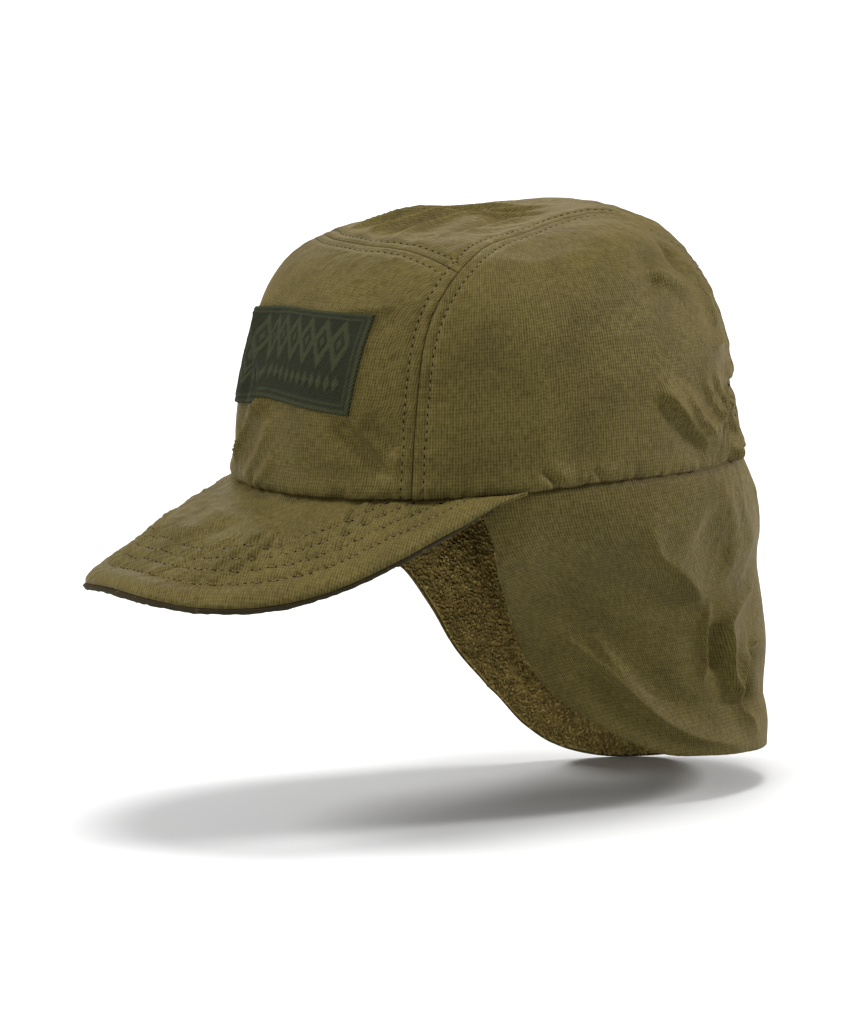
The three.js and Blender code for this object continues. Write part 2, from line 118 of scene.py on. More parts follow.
# Height, width, crispness and points of each crease, on the finished crown
CROWN_CREASES = [
    (2.6, 2.6, 2, [(82, 28, 37), (81, 40, 26), (75, 51, 15), (69, 62, 6)]),
    (-0.4, 5, 0, [(75, 48, 38), (73, 55, 25), (68, 65, 15)]),
    (1.2, 2, 2, [(79, 44, 36), (76, 52, 22), (68, 65, 8)]),
    (1.2, 1.9, 2, [(74, 56, 38), (69, 62, 26), (60, 74, 8)]),
    (1.2, 1.9, 2, [(68, 62, 40), (63, 70, 26), (54, 81, 6)]),
    (-1.9, 2.2, 0, [(36, 95, 28), (47, 86, 28), (58, 75, 29)]),
    (0.8, 4, 0, [(36, 93, 33), (47, 85, 33), (58, 74, 35)]),
    (1.2, 3, 1, [(50, 80, 50), (58, 75, 48), (66, 66, 46)]),
    (1.4, 3, 1, [(50, 82, 26), (62, 72, 22), (70, 60, 20)]),
    (-1.8, 5, 0, [(60, 34, 88), (66, 36, 80), (70, 38, 70)]),
    (2.0, 3, 1, [(66, 30, 84), (67, 40, 78), (62, 50, 70), (56, 57, 66)]),
    (-2.2, 5, 0, [(40, 58, 84), (50, 56, 80), (58, 52, 76)]),
    (1.6, 3, 1, [(40, 66, 82), (50, 64, 74), (54, 70, 60), (52, 78, 48)]),
    (2.4, 3, 2, [(-15, -56, 93), (-20, -24, 97), (-18, 1, 98), (-8, 30, 99)]),
    (2.6, 3, 2, [(3, -58, 94), (-7, -25, 97), (-11, 6, 98), (3, 36, 99)]),
    (2.3, 3, 2, [(23, -52, 93), (0, -16, 97), (-2, 7, 98), (8, 30, 98)]),
    (-1.8, 5, 0, [(31, -46, 95), (13, -7, 97), (6, 12, 98), (14, 30, 98)]),
    (-1.4, 4, 0, [(12, -55, 94), (-3, -20, 97), (-6, 8, 98)]),
    (1.2, 3, 1, [(34, -44, 94), (20, -10, 97), (16, 20, 98)]),
    (1.6, 4, 0, [(-30, -84, 74), (-24, -86, 68), (-13, -93, 53), (1, -100, 35), (-11, -101, 22)]),
    (3.4, 2.6, 2, [(-2, -98, 42), (1, -100, 35), (-11, -101, 22), (-22, -99, 3)]),
    (-2.2, 5, 0, [(-31, -88, 56), (-22, -96, 38), (-26, -97, 22), (-34, -94, 8)]),
    (0.9, 3, 0, [(-12, -103, -1), (5, -102, 20), (9, -99, 30)]),
    (0.8, 2.4, 0, [(0, -103, 0), (12, -101, 14)]),
    (-1.9, 4, 0, [(39, -90, 31), (53, -81, 16), (60, -75, 8)]),
    (1.2, 3, 2, [(46, -86, 32), (55, -79, 18), (60, -74, 8)]),
    (-1.4, 4, 0, [(50, -83, 32), (61, -72, 16)]),
    (1.2, 3, 1, [(36, -88, 78), (48, -80, 76), (58, -70, 78)]),
    (-2.2, 1.4, 1, [(84, -24, 10), (84.5, -19, 5), (85, -14, 0)]),
    (-1.4, 1.4, 1, [(85, -2, 9), (85, 1, 4), (85, 3, 1)]),
    (1.5, 4, 1, [(-60, -60, 70), (-72, -20, 60), (-74, 10, 62)]),
    (1.8, 3, 1, [(-79, 36, 33), (-78, 45, 20), (-66, 64, 6)]),
    (-1.6, 5, 0, [(-62, 70, 34), (-68, 62, 40)]),
    (1.5, 3, 1, [(-20, 98, 24), (-4, 101, 12), (3, 102, 2)]),
    (-1.4, 5, 0, [(14, 98, 46), (24, 93, 58), (30, 86, 66)]),
    (1.5, 3, 1, [(-26, 90, 60), (-12, 97, 44), (8, 100, 38)]),
]


def smooth(value, low, high):
    """0 below the low value, 1 above the high one, and an even rise between them."""
    share = np.clip((value - low) / (high - low), 0, 1)
    return share * share * (3 - 2 * share)


def table_value(rows, at, column=1):
    """A smooth curve through a table's rows, read by its first column."""
    rows = np.array(sorted(rows), float)
    key, value = rows[:, 0], rows[:, column]
    at = np.clip(np.asarray(at, float), key[0], key[-1])
    slope = np.empty(len(key))
    slope[1:-1] = (value[2:] - value[:-2]) / (key[2:] - key[:-2])
    slope[0] = (value[1] - value[0]) / (key[1] - key[0])
    slope[-1] = (value[-1] - value[-2]) / (key[-1] - key[-2])
    i = np.clip(np.searchsorted(key, at, side="right") - 1, 0, len(key) - 2)
    span = key[i + 1] - key[i]
    t = (at - key[i]) / span
    near = 2 * t**3 - 3 * t**2 + 1
    leave = (t**3 - 2 * t**2 + t) * span * slope[i]
    arrive = (t**3 - t**2) * span * slope[i + 1]
    return near * value[i] + leave + (1 - near) * value[i + 1] + arrive


def rim_height(y):
    """The seam round the crown's lower edge rises a little over the ears."""
    return 2 * np.exp(-(((y - 2) / 42) ** 2))


def oval(degrees, half_width, half_length):
    """Points of a squared oval, at angles from the middle of the back."""
    s = np.sin(np.radians(degrees))
    c = np.cos(np.radians(degrees))
    power = 2 / PLAN_SQUARENESS
    return half_width * np.sign(s) * np.abs(s) ** power, half_length * np.sign(c) * np.abs(c) ** power


def on_dome(guide):
    """Guide points moved straight out from the origin until they lie on the crown's dome."""
    plan = (np.abs(guide[..., 0]) / RIM_HALF_WIDTH) ** PLAN_SQUARENESS
    plan = plan + (np.abs(guide[..., 1]) / RIM_HALF_LENGTH) ** PLAN_SQUARENESS
    rise = (np.maximum(guide[..., 2], 0) / CROWN_HEIGHT) ** SIDE_SQUARENESS
    reach = plan ** (SIDE_SQUARENESS / PLAN_SQUARENESS) + rise
    return guide * reach[..., None] ** (-1 / SIDE_SQUARENESS)


def unit(vectors):
    return vectors / np.maximum(np.linalg.norm(vectors, axis=-1, keepdims=True), 1e-9)


def dome_normal(dome):
    px = (np.abs(dome[..., 0]) / RIM_HALF_WIDTH) ** PLAN_SQUARENESS
    py = (np.abs(dome[..., 1]) / RIM_HALF_LENGTH) ** PLAN_SQUARENESS
    pz = (np.maximum(dome[..., 2], 0) / CROWN_HEIGHT) ** SIDE_SQUARENESS
    plan = (px + py) ** (SIDE_SQUARENESS / PLAN_SQUARENESS - 1)
    safe = np.where(np.abs(dome) < 1e-6, 1e-6, dome)
    return unit(np.stack([plan * px, plan * py, pz], -1) / safe)


def leaned(dome):
    """The dome with its long flat top, and with walls that lean in towards it."""
    point = dome.copy()
    point[..., 2] += table_value(TOP_LIFT, dome[..., 1]) * smooth(dome[..., 2], 55, 92)
    point[..., 0] *= 1 - LEAN_SIDES * dome[..., 2] / 100
    point[..., 1] *= 1 - LEAN_FRONT_AND_BACK * dome[..., 2] / 100
    return point


SPAN_STEPS = 40


def smooth_line(points, steps=SPAN_STEPS):
    """Dense points of a smooth line through guide points, with this many to each span."""
    p = np.array(points, float)
    p = np.vstack([2 * p[0] - p[1], p, 2 * p[-1] - p[-2]])
    gap = np.linalg.norm(np.diff(p, axis=0), axis=1) ** 0.5
    t = np.linspace(0, 1, steps, endpoint=False)[:, None]
    spans = []
    for i in range(1, len(p) - 2):
        a, b, c = gap[i - 1], gap[i], gap[i + 1]
        step = p[i + 1] - p[i]
        leave = b * ((p[i] - p[i - 1]) / a - (p[i + 1] - p[i - 1]) / (a + b) + step / b)
        arrive = b * (step / b - (p[i + 2] - p[i]) / (b + c) + (p[i + 2] - p[i + 1]) / c)
        bend, twist = 3 * step - 2 * leave - arrive, leave + arrive - 2 * step
        spans.append(p[i] + leave * t + bend * t**2 + twist * t**3)
    return np.vstack([*spans, p[-2:-1]])


def line_length(line):
    return float(np.linalg.norm(np.diff(line, axis=0), axis=1).sum())


def places_along(line):
    """Each point's distance from the line's start, measured along it."""
    return np.concatenate([[0], np.cumsum(np.linalg.norm(np.diff(line, axis=0), axis=1))])


def along(line, share):
    """Points of a dense line at shares of its length."""
    length = places_along(line)
    at = np.clip(share, 0, 1) * length[-1]
    return np.stack([np.interp(at, length, line[:, k]) for k in range(line.shape[1])], -1)


def filled(across, up, bottom, top, left, right):
    """A grid of points filled in between four edge lines, at shares across and up."""
    u, v = across[None, :, None], up[:, None, None]
    ruled = along(bottom, across)[None] * (1 - v) + along(top, across)[None] * v
    ruled = ruled + along(left, up)[:, None] * (1 - u) + along(right, up)[:, None] * u
    low = bottom[0] * (1 - u) + bottom[-1] * u
    high = top[0] * (1 - u) + top[-1] * u
    return ruled - low * (1 - v) - high * v


# Distances in mm of a fine grid's first rows from the edge
EDGE_ROWS = [0.12, 0.3, 0.6, 1.0, 1.5, 2.2]


def shares(length, step, first=EDGE_ROWS, last=EDGE_ROWS):
    """Shares of a length for a fine grid, closer together near its two ends.

    Their count leaves every third one for the coarser grid of the inner face.
    """
    middle = length - first[-1] - last[-1]
    spare = (len(first) + len(last) - 2) % 3
    count = 3 * max(2, round(middle / step / 3)) - spare
    inside = np.linspace(first[-1], length - last[-1], count + 1)[1:-1]
    at = np.concatenate([first, inside, length - np.array(last)[::-1]])
    return at / length


LINE_HANG = 14


def near_line(points, line, normal=None):
    """How far points lie from a line of points, and how far along it their nearest place is, in mm.

    With normals, a line that hangs a little above or below the surface counts as lying on it, and the
    distance is negative on the right of the line, as seen from outside.
    """
    line = np.array(line, float)
    best = np.full(points.shape[:-1], 1e9)
    place = np.zeros(points.shape[:-1])
    start = 0.0
    for a, b in zip(line[:-1], line[1:]):
        d = b - a
        size = float(np.linalg.norm(d))
        t = np.clip((points - a) @ d / size**2, 0, 1)
        gap = points - a - t[..., None] * d
        if normal is not None:
            lift = np.einsum("...i,...i", gap, normal)
            gap = gap - np.clip(lift, -LINE_HANG, LINE_HANG)[..., None] * normal
        distance = np.sqrt(np.einsum("...i,...i", gap, gap))
        closer = distance < np.abs(best)
        if normal is not None:
            turn = np.einsum("...i,...i", np.cross(d, gap), normal)
            distance = distance * np.where(turn < 0, -1, 1)
        best = np.where(closer, distance, best)
        place = np.where(closer, start + t * size, place)
        start += size
    return best, place


def noise(points, size, seed):
    """Smooth seeded bumps between -1 and 1, of this size in millimetres, or one size for each axis."""
    q = points / np.asarray(size, float) + 17.31 * seed
    cell = np.floor(q).astype(np.int64)
    f = q - cell
    f = f * f * (3 - 2 * f)
    total = np.zeros(points.shape[:-1])
    for corner in product((0, 1), repeat=3):
        c = cell + np.array(corner)
        h = c[..., 0] * 374761393 + c[..., 1] * 668265263 + c[..., 2] * 974634777
        h = (h + seed * 69069) & 0xFFFFFFFF
        h = ((h ^ (h >> 13)) * 1274126177) & 0xFFFFFFFF
        h = h ^ (h >> 16)
        weight = np.prod(np.where(np.array(corner) == 1, f, 1 - f), axis=-1)
        total += weight * ((h & 0xFFFF) / 32767.5 - 1)
    return total


def noise_along(distance, size, seed):
    """The same bumps along a line, by the distance from its start."""
    flat = np.zeros_like(distance)
    return noise(np.stack([distance, flat, flat], -1), (size, 1, 1), seed)


def creased(points, normal, creases):
    """How far creases push points outwards. Each fades towards its two ends.

    Crispness 0 is a round fold, 1 a crisp ridge, and 2 a crisp ridge that is steep on its right.
    """
    out = np.zeros(points.shape[:-1])
    for height, width, crisp, line in creases:
        line = smooth_line(line, 6)
        distance, place = near_line(points, line, normal)
        share = place / line_length(line)
        fade = smooth(share, 0, 0.25) * (1 - smooth(share, 0.75, 1))
        soft = np.exp(-((distance / width) ** 2))
        steep = np.where(distance < 0, 2.1, 0.62) if crisp == 2 else 1.0
        sharp = np.exp(-np.sqrt((distance * steep) ** 2 + 0.2) / (0.7 * width))
        beside = 1.5 * width if crisp == 2 else 2.4 * width
        flanks = np.exp(-(((np.abs(distance) - beside) / beside) ** 2))
        if crisp == 2:
            flanks = flanks * np.where(distance < 0, 1, soft)
        out += CREASE_DEPTH * height * fade * (sharp - 0.3 * flanks if crisp else soft)
    return out


def crumpled(points, size, seed):
    """Cloth that buckles: crisp ridges between shallow hollows, from -1 to 1."""
    bend = np.stack([noise(points, 31, seed + k) for k in range(3)], -1)
    ridge = 1 - np.abs(noise(points + 7 * bend, size, seed + 3)) * 2
    return ridge + 0.4 * (1 - np.abs(noise(points + 5 * bend, np.asarray(size) * 0.47, seed + 4)) * 2)


def gathers(distance, size, seed):
    """Small gathered folds along a seam: narrow ridges with wider hollows between them, from -1 to 1."""
    small = 0.35 * noise_along(distance, size * 0.4, seed + 1)
    return 1 - 2 * np.abs(noise_along(distance, size, seed) + small)


def pinches(distance, size, seed):
    """Short narrow tucks at uneven places along a seam, from 0 to 1."""
    return np.exp(-((noise_along(distance, size, seed) / 0.13) ** 2))


def grid_normals(grid):
    across = np.gradient(grid, axis=1)
    up = np.gradient(grid, axis=0)
    return unit(np.cross(across, up))


def weave_uv(grid):
    """Places on the flat cloth in mm: across from the middle column, and up from the lower edge."""
    across = np.linalg.norm(np.diff(grid, axis=1), axis=-1)
    across = np.concatenate([np.zeros((len(grid), 1)), np.cumsum(across, axis=1)], axis=1)
    across = across - across[:, [grid.shape[1] // 2]]
    up = np.linalg.norm(np.diff(grid, axis=0), axis=-1)
    up = np.concatenate([np.zeros((1, grid.shape[1])), np.cumsum(up, axis=0)], axis=0)
    return np.stack([across, up], -1)


def new_object(name, data):
    """A mesh, lamp or camera as an object of the scene."""
    made = bpy.data.objects.new(name, data)
    bpy.context.scene.collection.objects.link(made)
    return made


def mesh_piece(name, points, faces, uv, values=None):
    """A smooth-shaded object from points in mm, with its places on the cloth and any named values."""
    mesh = bpy.data.meshes.new(name)
    mesh.from_pydata((np.asarray(points) * 0.001).tolist(), [], faces)
    corners = np.empty(len(mesh.loops), np.int32)
    mesh.loops.foreach_get("vertex_index", corners)
    layer = mesh.uv_layers.new(name="weave")
    layer.data.foreach_set("uv", np.asarray(uv, np.float32)[corners].ravel())
    for key, value in (values or {}).items():
        attribute = mesh.attributes.new(key, "FLOAT", "POINT")
        attribute.data.foreach_set("value", np.asarray(value, np.float32).ravel())
    mesh.polygons.foreach_set("use_smooth", np.ones(len(mesh.polygons), bool))
    mesh.validate()
    return new_object(name, mesh)


def grid_faces(at):
    """The four-sided faces between the points of a grid, from the points' numbers."""
    return np.stack([at[:-1, :-1], at[:-1, 1:], at[1:, 1:], at[1:, :-1]], -1).reshape(-1, 4)


def wall(name, outer, inner, uv, values=None):
    """A closed wall: a fine outer grid, an inner one of every third row and column, and its edges."""
    rows, columns = outer.shape[:2]
    inner, inner_uv = inner[::3, ::3], uv[::3, ::3]
    r_in, c_in = inner.shape[:2]
    out_at = np.arange(rows * columns).reshape(rows, columns)
    in_at = rows * columns + np.arange(r_in * c_in).reshape(r_in, c_in)
    faces = grid_faces(out_at).tolist() + grid_faces(in_at)[:, ::-1].tolist()
    sides = ((out_at[:, 0], in_at[:, 0], 1), (out_at[:, -1], in_at[:, -1], -1),
             (out_at[0], in_at[0], -1), (out_at[-1], in_at[-1], 1))
    for far, near, turn in sides:
        for k in range(len(near) - 1):
            strip = [*far[3 * k:3 * k + 4], near[k + 1], near[k]]
            faces.append([int(i) for i in strip[::turn]])
    points = np.concatenate([outer.reshape(-1, 3), inner.reshape(-1, 3)])
    places = np.concatenate([uv.reshape(-1, 2), inner_uv.reshape(-1, 2)])
    both = {key: np.concatenate([v.ravel(), v[::3, ::3].ravel()]) for key, v in (values or {}).items()}
    return mesh_piece(name, points, faces, places, both)


def rolled(edge, radius):
    """How far a face drops where it turns round an edge of this radius."""
    rest = np.clip(radius - edge, 0, radius)
    return radius - np.sqrt(radius**2 - rest**2)


def seam_relief(distance, place, seed):
    """The groove of a seam, the pads beside it and the pull of its two rows of stitches."""
    pull = noise_along(place, 5.5, seed)
    tug = noise_along(place, 2.6, seed + 1)
    row = np.exp(-(((distance - STITCH_ROW) / 0.85) ** 2))
    pad = np.exp(-(((distance - STITCH_ROW / 2) / 1.3) ** 2))
    beyond = np.exp(-(((distance - STITCH_ROW - 2.6) / 2.4) ** 2))
    groove = -SEAM_GROOVE * np.exp(-((distance / 0.4) ** 2))
    pucker = (0.32 * pull + 0.16 * tug) * (pad + 1.1 * beyond)
    return groove + 0.18 * pad - 0.38 * row * (1 + 0.3 * tug) + 0.3 * beyond + pucker


seam_guide = on_dome(smooth_line(on_dome(np.array(SIDE_SEAM, float))))


def mirrored(line):
    return line * np.array([-1, 1, 1])


def part_of(line, first, last):
    """The stretch of a dense line between two of its guide points."""
    return line[SPAN_STEPS * first:SPAN_STEPS * last + 1]


def cross_seam(row, middle):
    """A seam across the crown, from a row of the left side seam to the same row of the right one."""
    corner = on_dome(np.array(SIDE_SEAM[row], float))
    ends = [corner, *on_dome(np.array(middle, float)), mirrored(corner)]
    return on_dome(smooth_line(ends))


front_cross = cross_seam(FRONT_CORNER, FRONT_CROSS_SEAM)
back_cross = cross_seam(BACK_CORNER, BACK_CROSS_SEAM)


def rim_line(start, end):
    """The crown's lower edge between two angles, just above the seam."""
    x, y = oval(np.linspace(start, end, 400), RIM_HALF_WIDTH, RIM_HALF_LENGTH)
    return np.stack([x, y, rim_height(y) + 0.2], -1)


def rim_angle(row):
    """The angle on the oval of a point on the crown's lower edge."""
    power = PLAN_SQUARENESS / 2
    s = (row[0] / RIM_HALF_WIDTH) ** power
    c = math.copysign((abs(row[1]) / RIM_HALF_LENGTH) ** power, row[1])
    return math.degrees(math.atan2(s, c))


front_rim, back_rim = rim_angle(SIDE_SEAM[0]), rim_angle(SIDE_SEAM[-1])
seam_lines = [leaned(line)[::8] for line in (seam_guide, mirrored(seam_guide), front_cross, back_cross)]
side_seam_places = places_along(seam_lines[0])
# Longer than any seam, so that no two seams have the same puckers
NEXT_SEAM = 400


def mirrored_to_left(points):
    return np.stack([np.abs(points[..., 0]), points[..., 1], points[..., 2]], -1)


def crown_shape(guide, u, v, puff):
    """The crown's outer face at guide points, with its folds, seams, gathers and turned lower edge."""
    dome = on_dome(guide)
    normal = dome_normal(dome)
    out = puff * (1 - (2 * u - 1) ** 4) * (1 - (2 * v - 1) ** 4)
    for height, width, line in CROWN_FORMS:
        out = out + height * np.exp(-((near_line(dome, line)[0] / width) ** 2))
    above = dome[..., 2] - rim_height(dome[..., 1])
    round_rim = np.arctan2(dome[..., 0], dome[..., 1]) * RIM_HALF_LENGTH
    at_back = smooth(dome[..., 1], 40, 80)
    waves = np.exp(-((above / 14) ** 2)) * np.cos(2 * np.pi * round_rim / BACK_WAVE_PITCH)
    out = out + BACK_WAVE * at_back * waves
    body = leaned(dome) + normal * out[..., None]
    seam, place = np.full(out.shape, 1e9), np.zeros(out.shape)
    for k, line in enumerate(seam_lines):
        distance, at = near_line(leaned(dome), line)
        place = np.where(distance < seam, at + NEXT_SEAM * k, place)
        seam = np.minimum(distance, seam)
    side_gap, side_place = near_line(mirrored_to_left(leaned(dome)), seam_lines[0])
    seam_x = np.interp(side_place, side_seam_places, seam_lines[0][:, 0])
    beyond = side_gap * np.where(np.abs(leaned(dome)[..., 0]) > seam_x, 1, -1)
    shoulder = smooth(beyond, -6, 9) * np.exp(-((np.maximum(beyond, 0) / 30) ** 2))
    shoulder = shoulder * smooth(dome[..., 2], 84, 93)
    relief = creased(body, normal, CROWN_CREASES) * smooth(seam, 0, 7) - SHOULDER_DROP * shoulder
    relief = relief + seam_relief(seam, place, 3)
    away = smooth(seam, 3, 14) * smooth(above, 2, 16)
    on_top = smooth(dome[..., 2], 70, 92)
    relief = relief + away * (CRUMPLE + CRUMPLE_AT_BACK * at_back) * crumpled(body, (21, 26, 33), 11)
    relief = relief + away * on_top * CRUMPLE_ON_TOP * crumpled(body, (9, 38, 12), 23)
    relief = relief + away * UNEVEN * noise(body, (26, 30, 40), 31)
    aside = (np.abs(dome[..., 0]) - FAN_ROOT[0]) * 0.8 - (dome[..., 1] - FAN_ROOT[1]) * 0.6
    below = FAN_ROOT[2] - dome[..., 2]
    spread = np.hypot(aside, below)
    fan = gathers(np.arctan2(aside, below) * 15, 2.7, 51) * smooth(spread, 2, 9) * smooth(below, 0, 6)
    fan = fan * np.exp(-((spread / 25) ** 4))
    relief = relief + fan * smooth(dome[..., 1], 20, 50) * smooth(seam, 1, 5)
    low = np.exp(-above / (6 + 9 * at_back))
    slant = round_rim + 0.35 * above * at_back * np.sign(dome[..., 0])
    tucks = gathers(slant, 6.5, 41) * 0.6 + gathers(slant, 3.1, 43) * 0.3
    relief = relief + low * tucks * (TUCKS + TUCKS_AT_BACK * at_back)
    relief = relief - DEEP_PINCH * pinches(slant, 8, 44) * np.exp(-above / (3.5 + 4 * at_back))
    relief = relief - SHALLOW_PINCH * pinches(slant + 3, 4.4, 45) * np.exp(-above / 2.2)
    relief = np.maximum(relief, -1.0 - 4 * smooth(above, 1, 10))
    roll = np.exp(-(((above - 3.2) / 4.2) ** 2))
    relief = relief + RIM_ROLL * roll - RIM_ROLL * rolled(above, RIM_RADIUS)
    point = body + normal * relief[..., None]
    point[..., 2] += 0.55 * noise_along(round_rim, 5, 47) * (1 - smooth(above, 0, 5))
    return point, normal, seam, above


# How thin a panel is at its edges, and what turns an angle round the crown into mm of the sides' weave
EDGE_WALL = 1.4
MEAN_RADIUS = 94


def crown_panel(name, puff, bottom, top, left, right):
    """A panel of the crown between four edge lines, thinner where it is turned in at them."""
    across = shares((line_length(bottom) + line_length(top)) / 2, WEAVE_STEP)
    up = shares((line_length(left) + line_length(right)) / 2, WEAVE_STEP)
    guide = filled(across, up, bottom, top, left, right)
    u, v = np.meshgrid(across, up)
    outer, normal, seam, above = crown_shape(guide, u, v, puff)
    edge = np.minimum(seam, above)
    wall_here = np.minimum(CROWN_WALL, EDGE_WALL + edge)
    inner = outer - normal * wall_here[..., None]
    # Painted shade for the cloth's colour: dark in each seam's groove, and darker along the turned lower
    # edge, where the crown's edge shades the seam below it.
    values = {"seam": np.exp(-((seam / 0.42) ** 2)) + 3 * np.exp(-((above / 0.55) ** 2))}
    uv = weave_uv(outer)
    if name.startswith("side"):
        turn = np.arctan2(guide[..., 0] / RIM_HALF_WIDTH, guide[..., 1] / RIM_HALF_LENGTH)
        uv[..., 0] = turn * MEAN_RADIUS
    return wall(name, outer, inner, uv, values)


crown = {
    "front_panel": crown_panel(
        "front_panel_cloth", PANEL_PUFF, rim_line(-front_rim, front_rim - 360), front_cross[::-1],
        part_of(mirrored(seam_guide), 0, FRONT_CORNER), part_of(seam_guide, 0, FRONT_CORNER)),
    "top_panel": crown_panel(
        "top_panel_cloth", TOP_PANEL_PUFF, front_cross[::-1], back_cross[::-1],
        part_of(mirrored(seam_guide), FRONT_CORNER, BACK_CORNER),
        part_of(seam_guide, FRONT_CORNER, BACK_CORNER)),
    "back_panel": crown_panel(
        "back_panel_cloth", PANEL_PUFF, rim_line(back_rim, -back_rim), back_cross,
        part_of(seam_guide, BACK_CORNER, SEAM_END)[::-1],
        part_of(mirrored(seam_guide), BACK_CORNER, SEAM_END)[::-1]),
}
seam_shares = np.linspace(0, 1, 400)
riser_front = along(seam_guide, SIDE_RISER * seam_shares)
riser_back = along(seam_guide, 1 - SIDE_RISER * seam_shares)
side_top = along(seam_guide, SIDE_RISER + (1 - 2 * SIDE_RISER) * seam_shares)
crown["side_panel_left"] = crown_panel(
    "side_panel_left_cloth", PANEL_PUFF, rim_line(front_rim, back_rim), side_top, riser_front, riser_back)
crown["side_panel_right"] = crown_panel(
    "side_panel_right_cloth", PANEL_PUFF, rim_line(-back_rim, -front_rim), mirrored(side_top)[::-1],
    mirrored(riser_back), mirrored(riser_front))


def add(tree, kind, inputs=None, **settings):
    """Adds a node with its settings. An input is a value, or the output that feeds it."""
    made = tree.nodes.new(kind)
    for name, value in settings.items():
        setattr(made, name, value)
    for key, value in (inputs or {}).items():
        if isinstance(value, bpy.types.NodeSocket):
            tree.links.new(value, made.inputs[key])
        else:
            made.inputs[key].default_value = value
    return made


def linear(hex_colour):
    """An sRGB hex colour as the linear numbers that Blender works in."""
    parts = [int(hex_colour[i:i + 2], 16) / 255 for i in (1, 3, 5)]
    return [p / 12.92 if p < 0.04045 else ((p + 0.055) / 1.055) ** 2.4 for p in parts] + [1]


def new_material(name, finish):
    """A material, its node tree, and its shader with these values."""
    material = bpy.data.materials.new(name)
    material.use_nodes = True
    tree = material.node_tree
    tree.nodes.clear()
    shader = add(tree, "ShaderNodeBsdfPrincipled", finish)
    add(tree, "ShaderNodeOutputMaterial", {"Surface": shader.outputs[0]})
    return material, tree, shader


def blended(tree, factor, first, second, mode="MIX"):
    """Mixes two colours. Sockets 6 and 7 are the colours' own."""
    mix = add(tree, "ShaderNodeMix", {0: factor, 6: first, 7: second}, data_type="RGBA", blend_type=mode)
    return mix.outputs[2]


# Crinkled textured nylon, plain woven and piece dyed olive. Uneven threads about 1 mm apart show as a fine
# broken grid, mostly of upright ribs, the dye is a little patchy, and folds shine gold in grazing light.
# Seams, stitch rows and the crown's lower edge are darkened with painted shade.
RIB_PITCH, BAR_PITCH = 1.05, 1.3
DYE_PATCH, CRINKLE = 20, 5
CLOTH_LIGHT, CLOTH_MIDDLE, CLOTH_DARK = "#4a4425", "#464023", "#3f3a20"
CLOTH_GLEAM = "#e8b250"


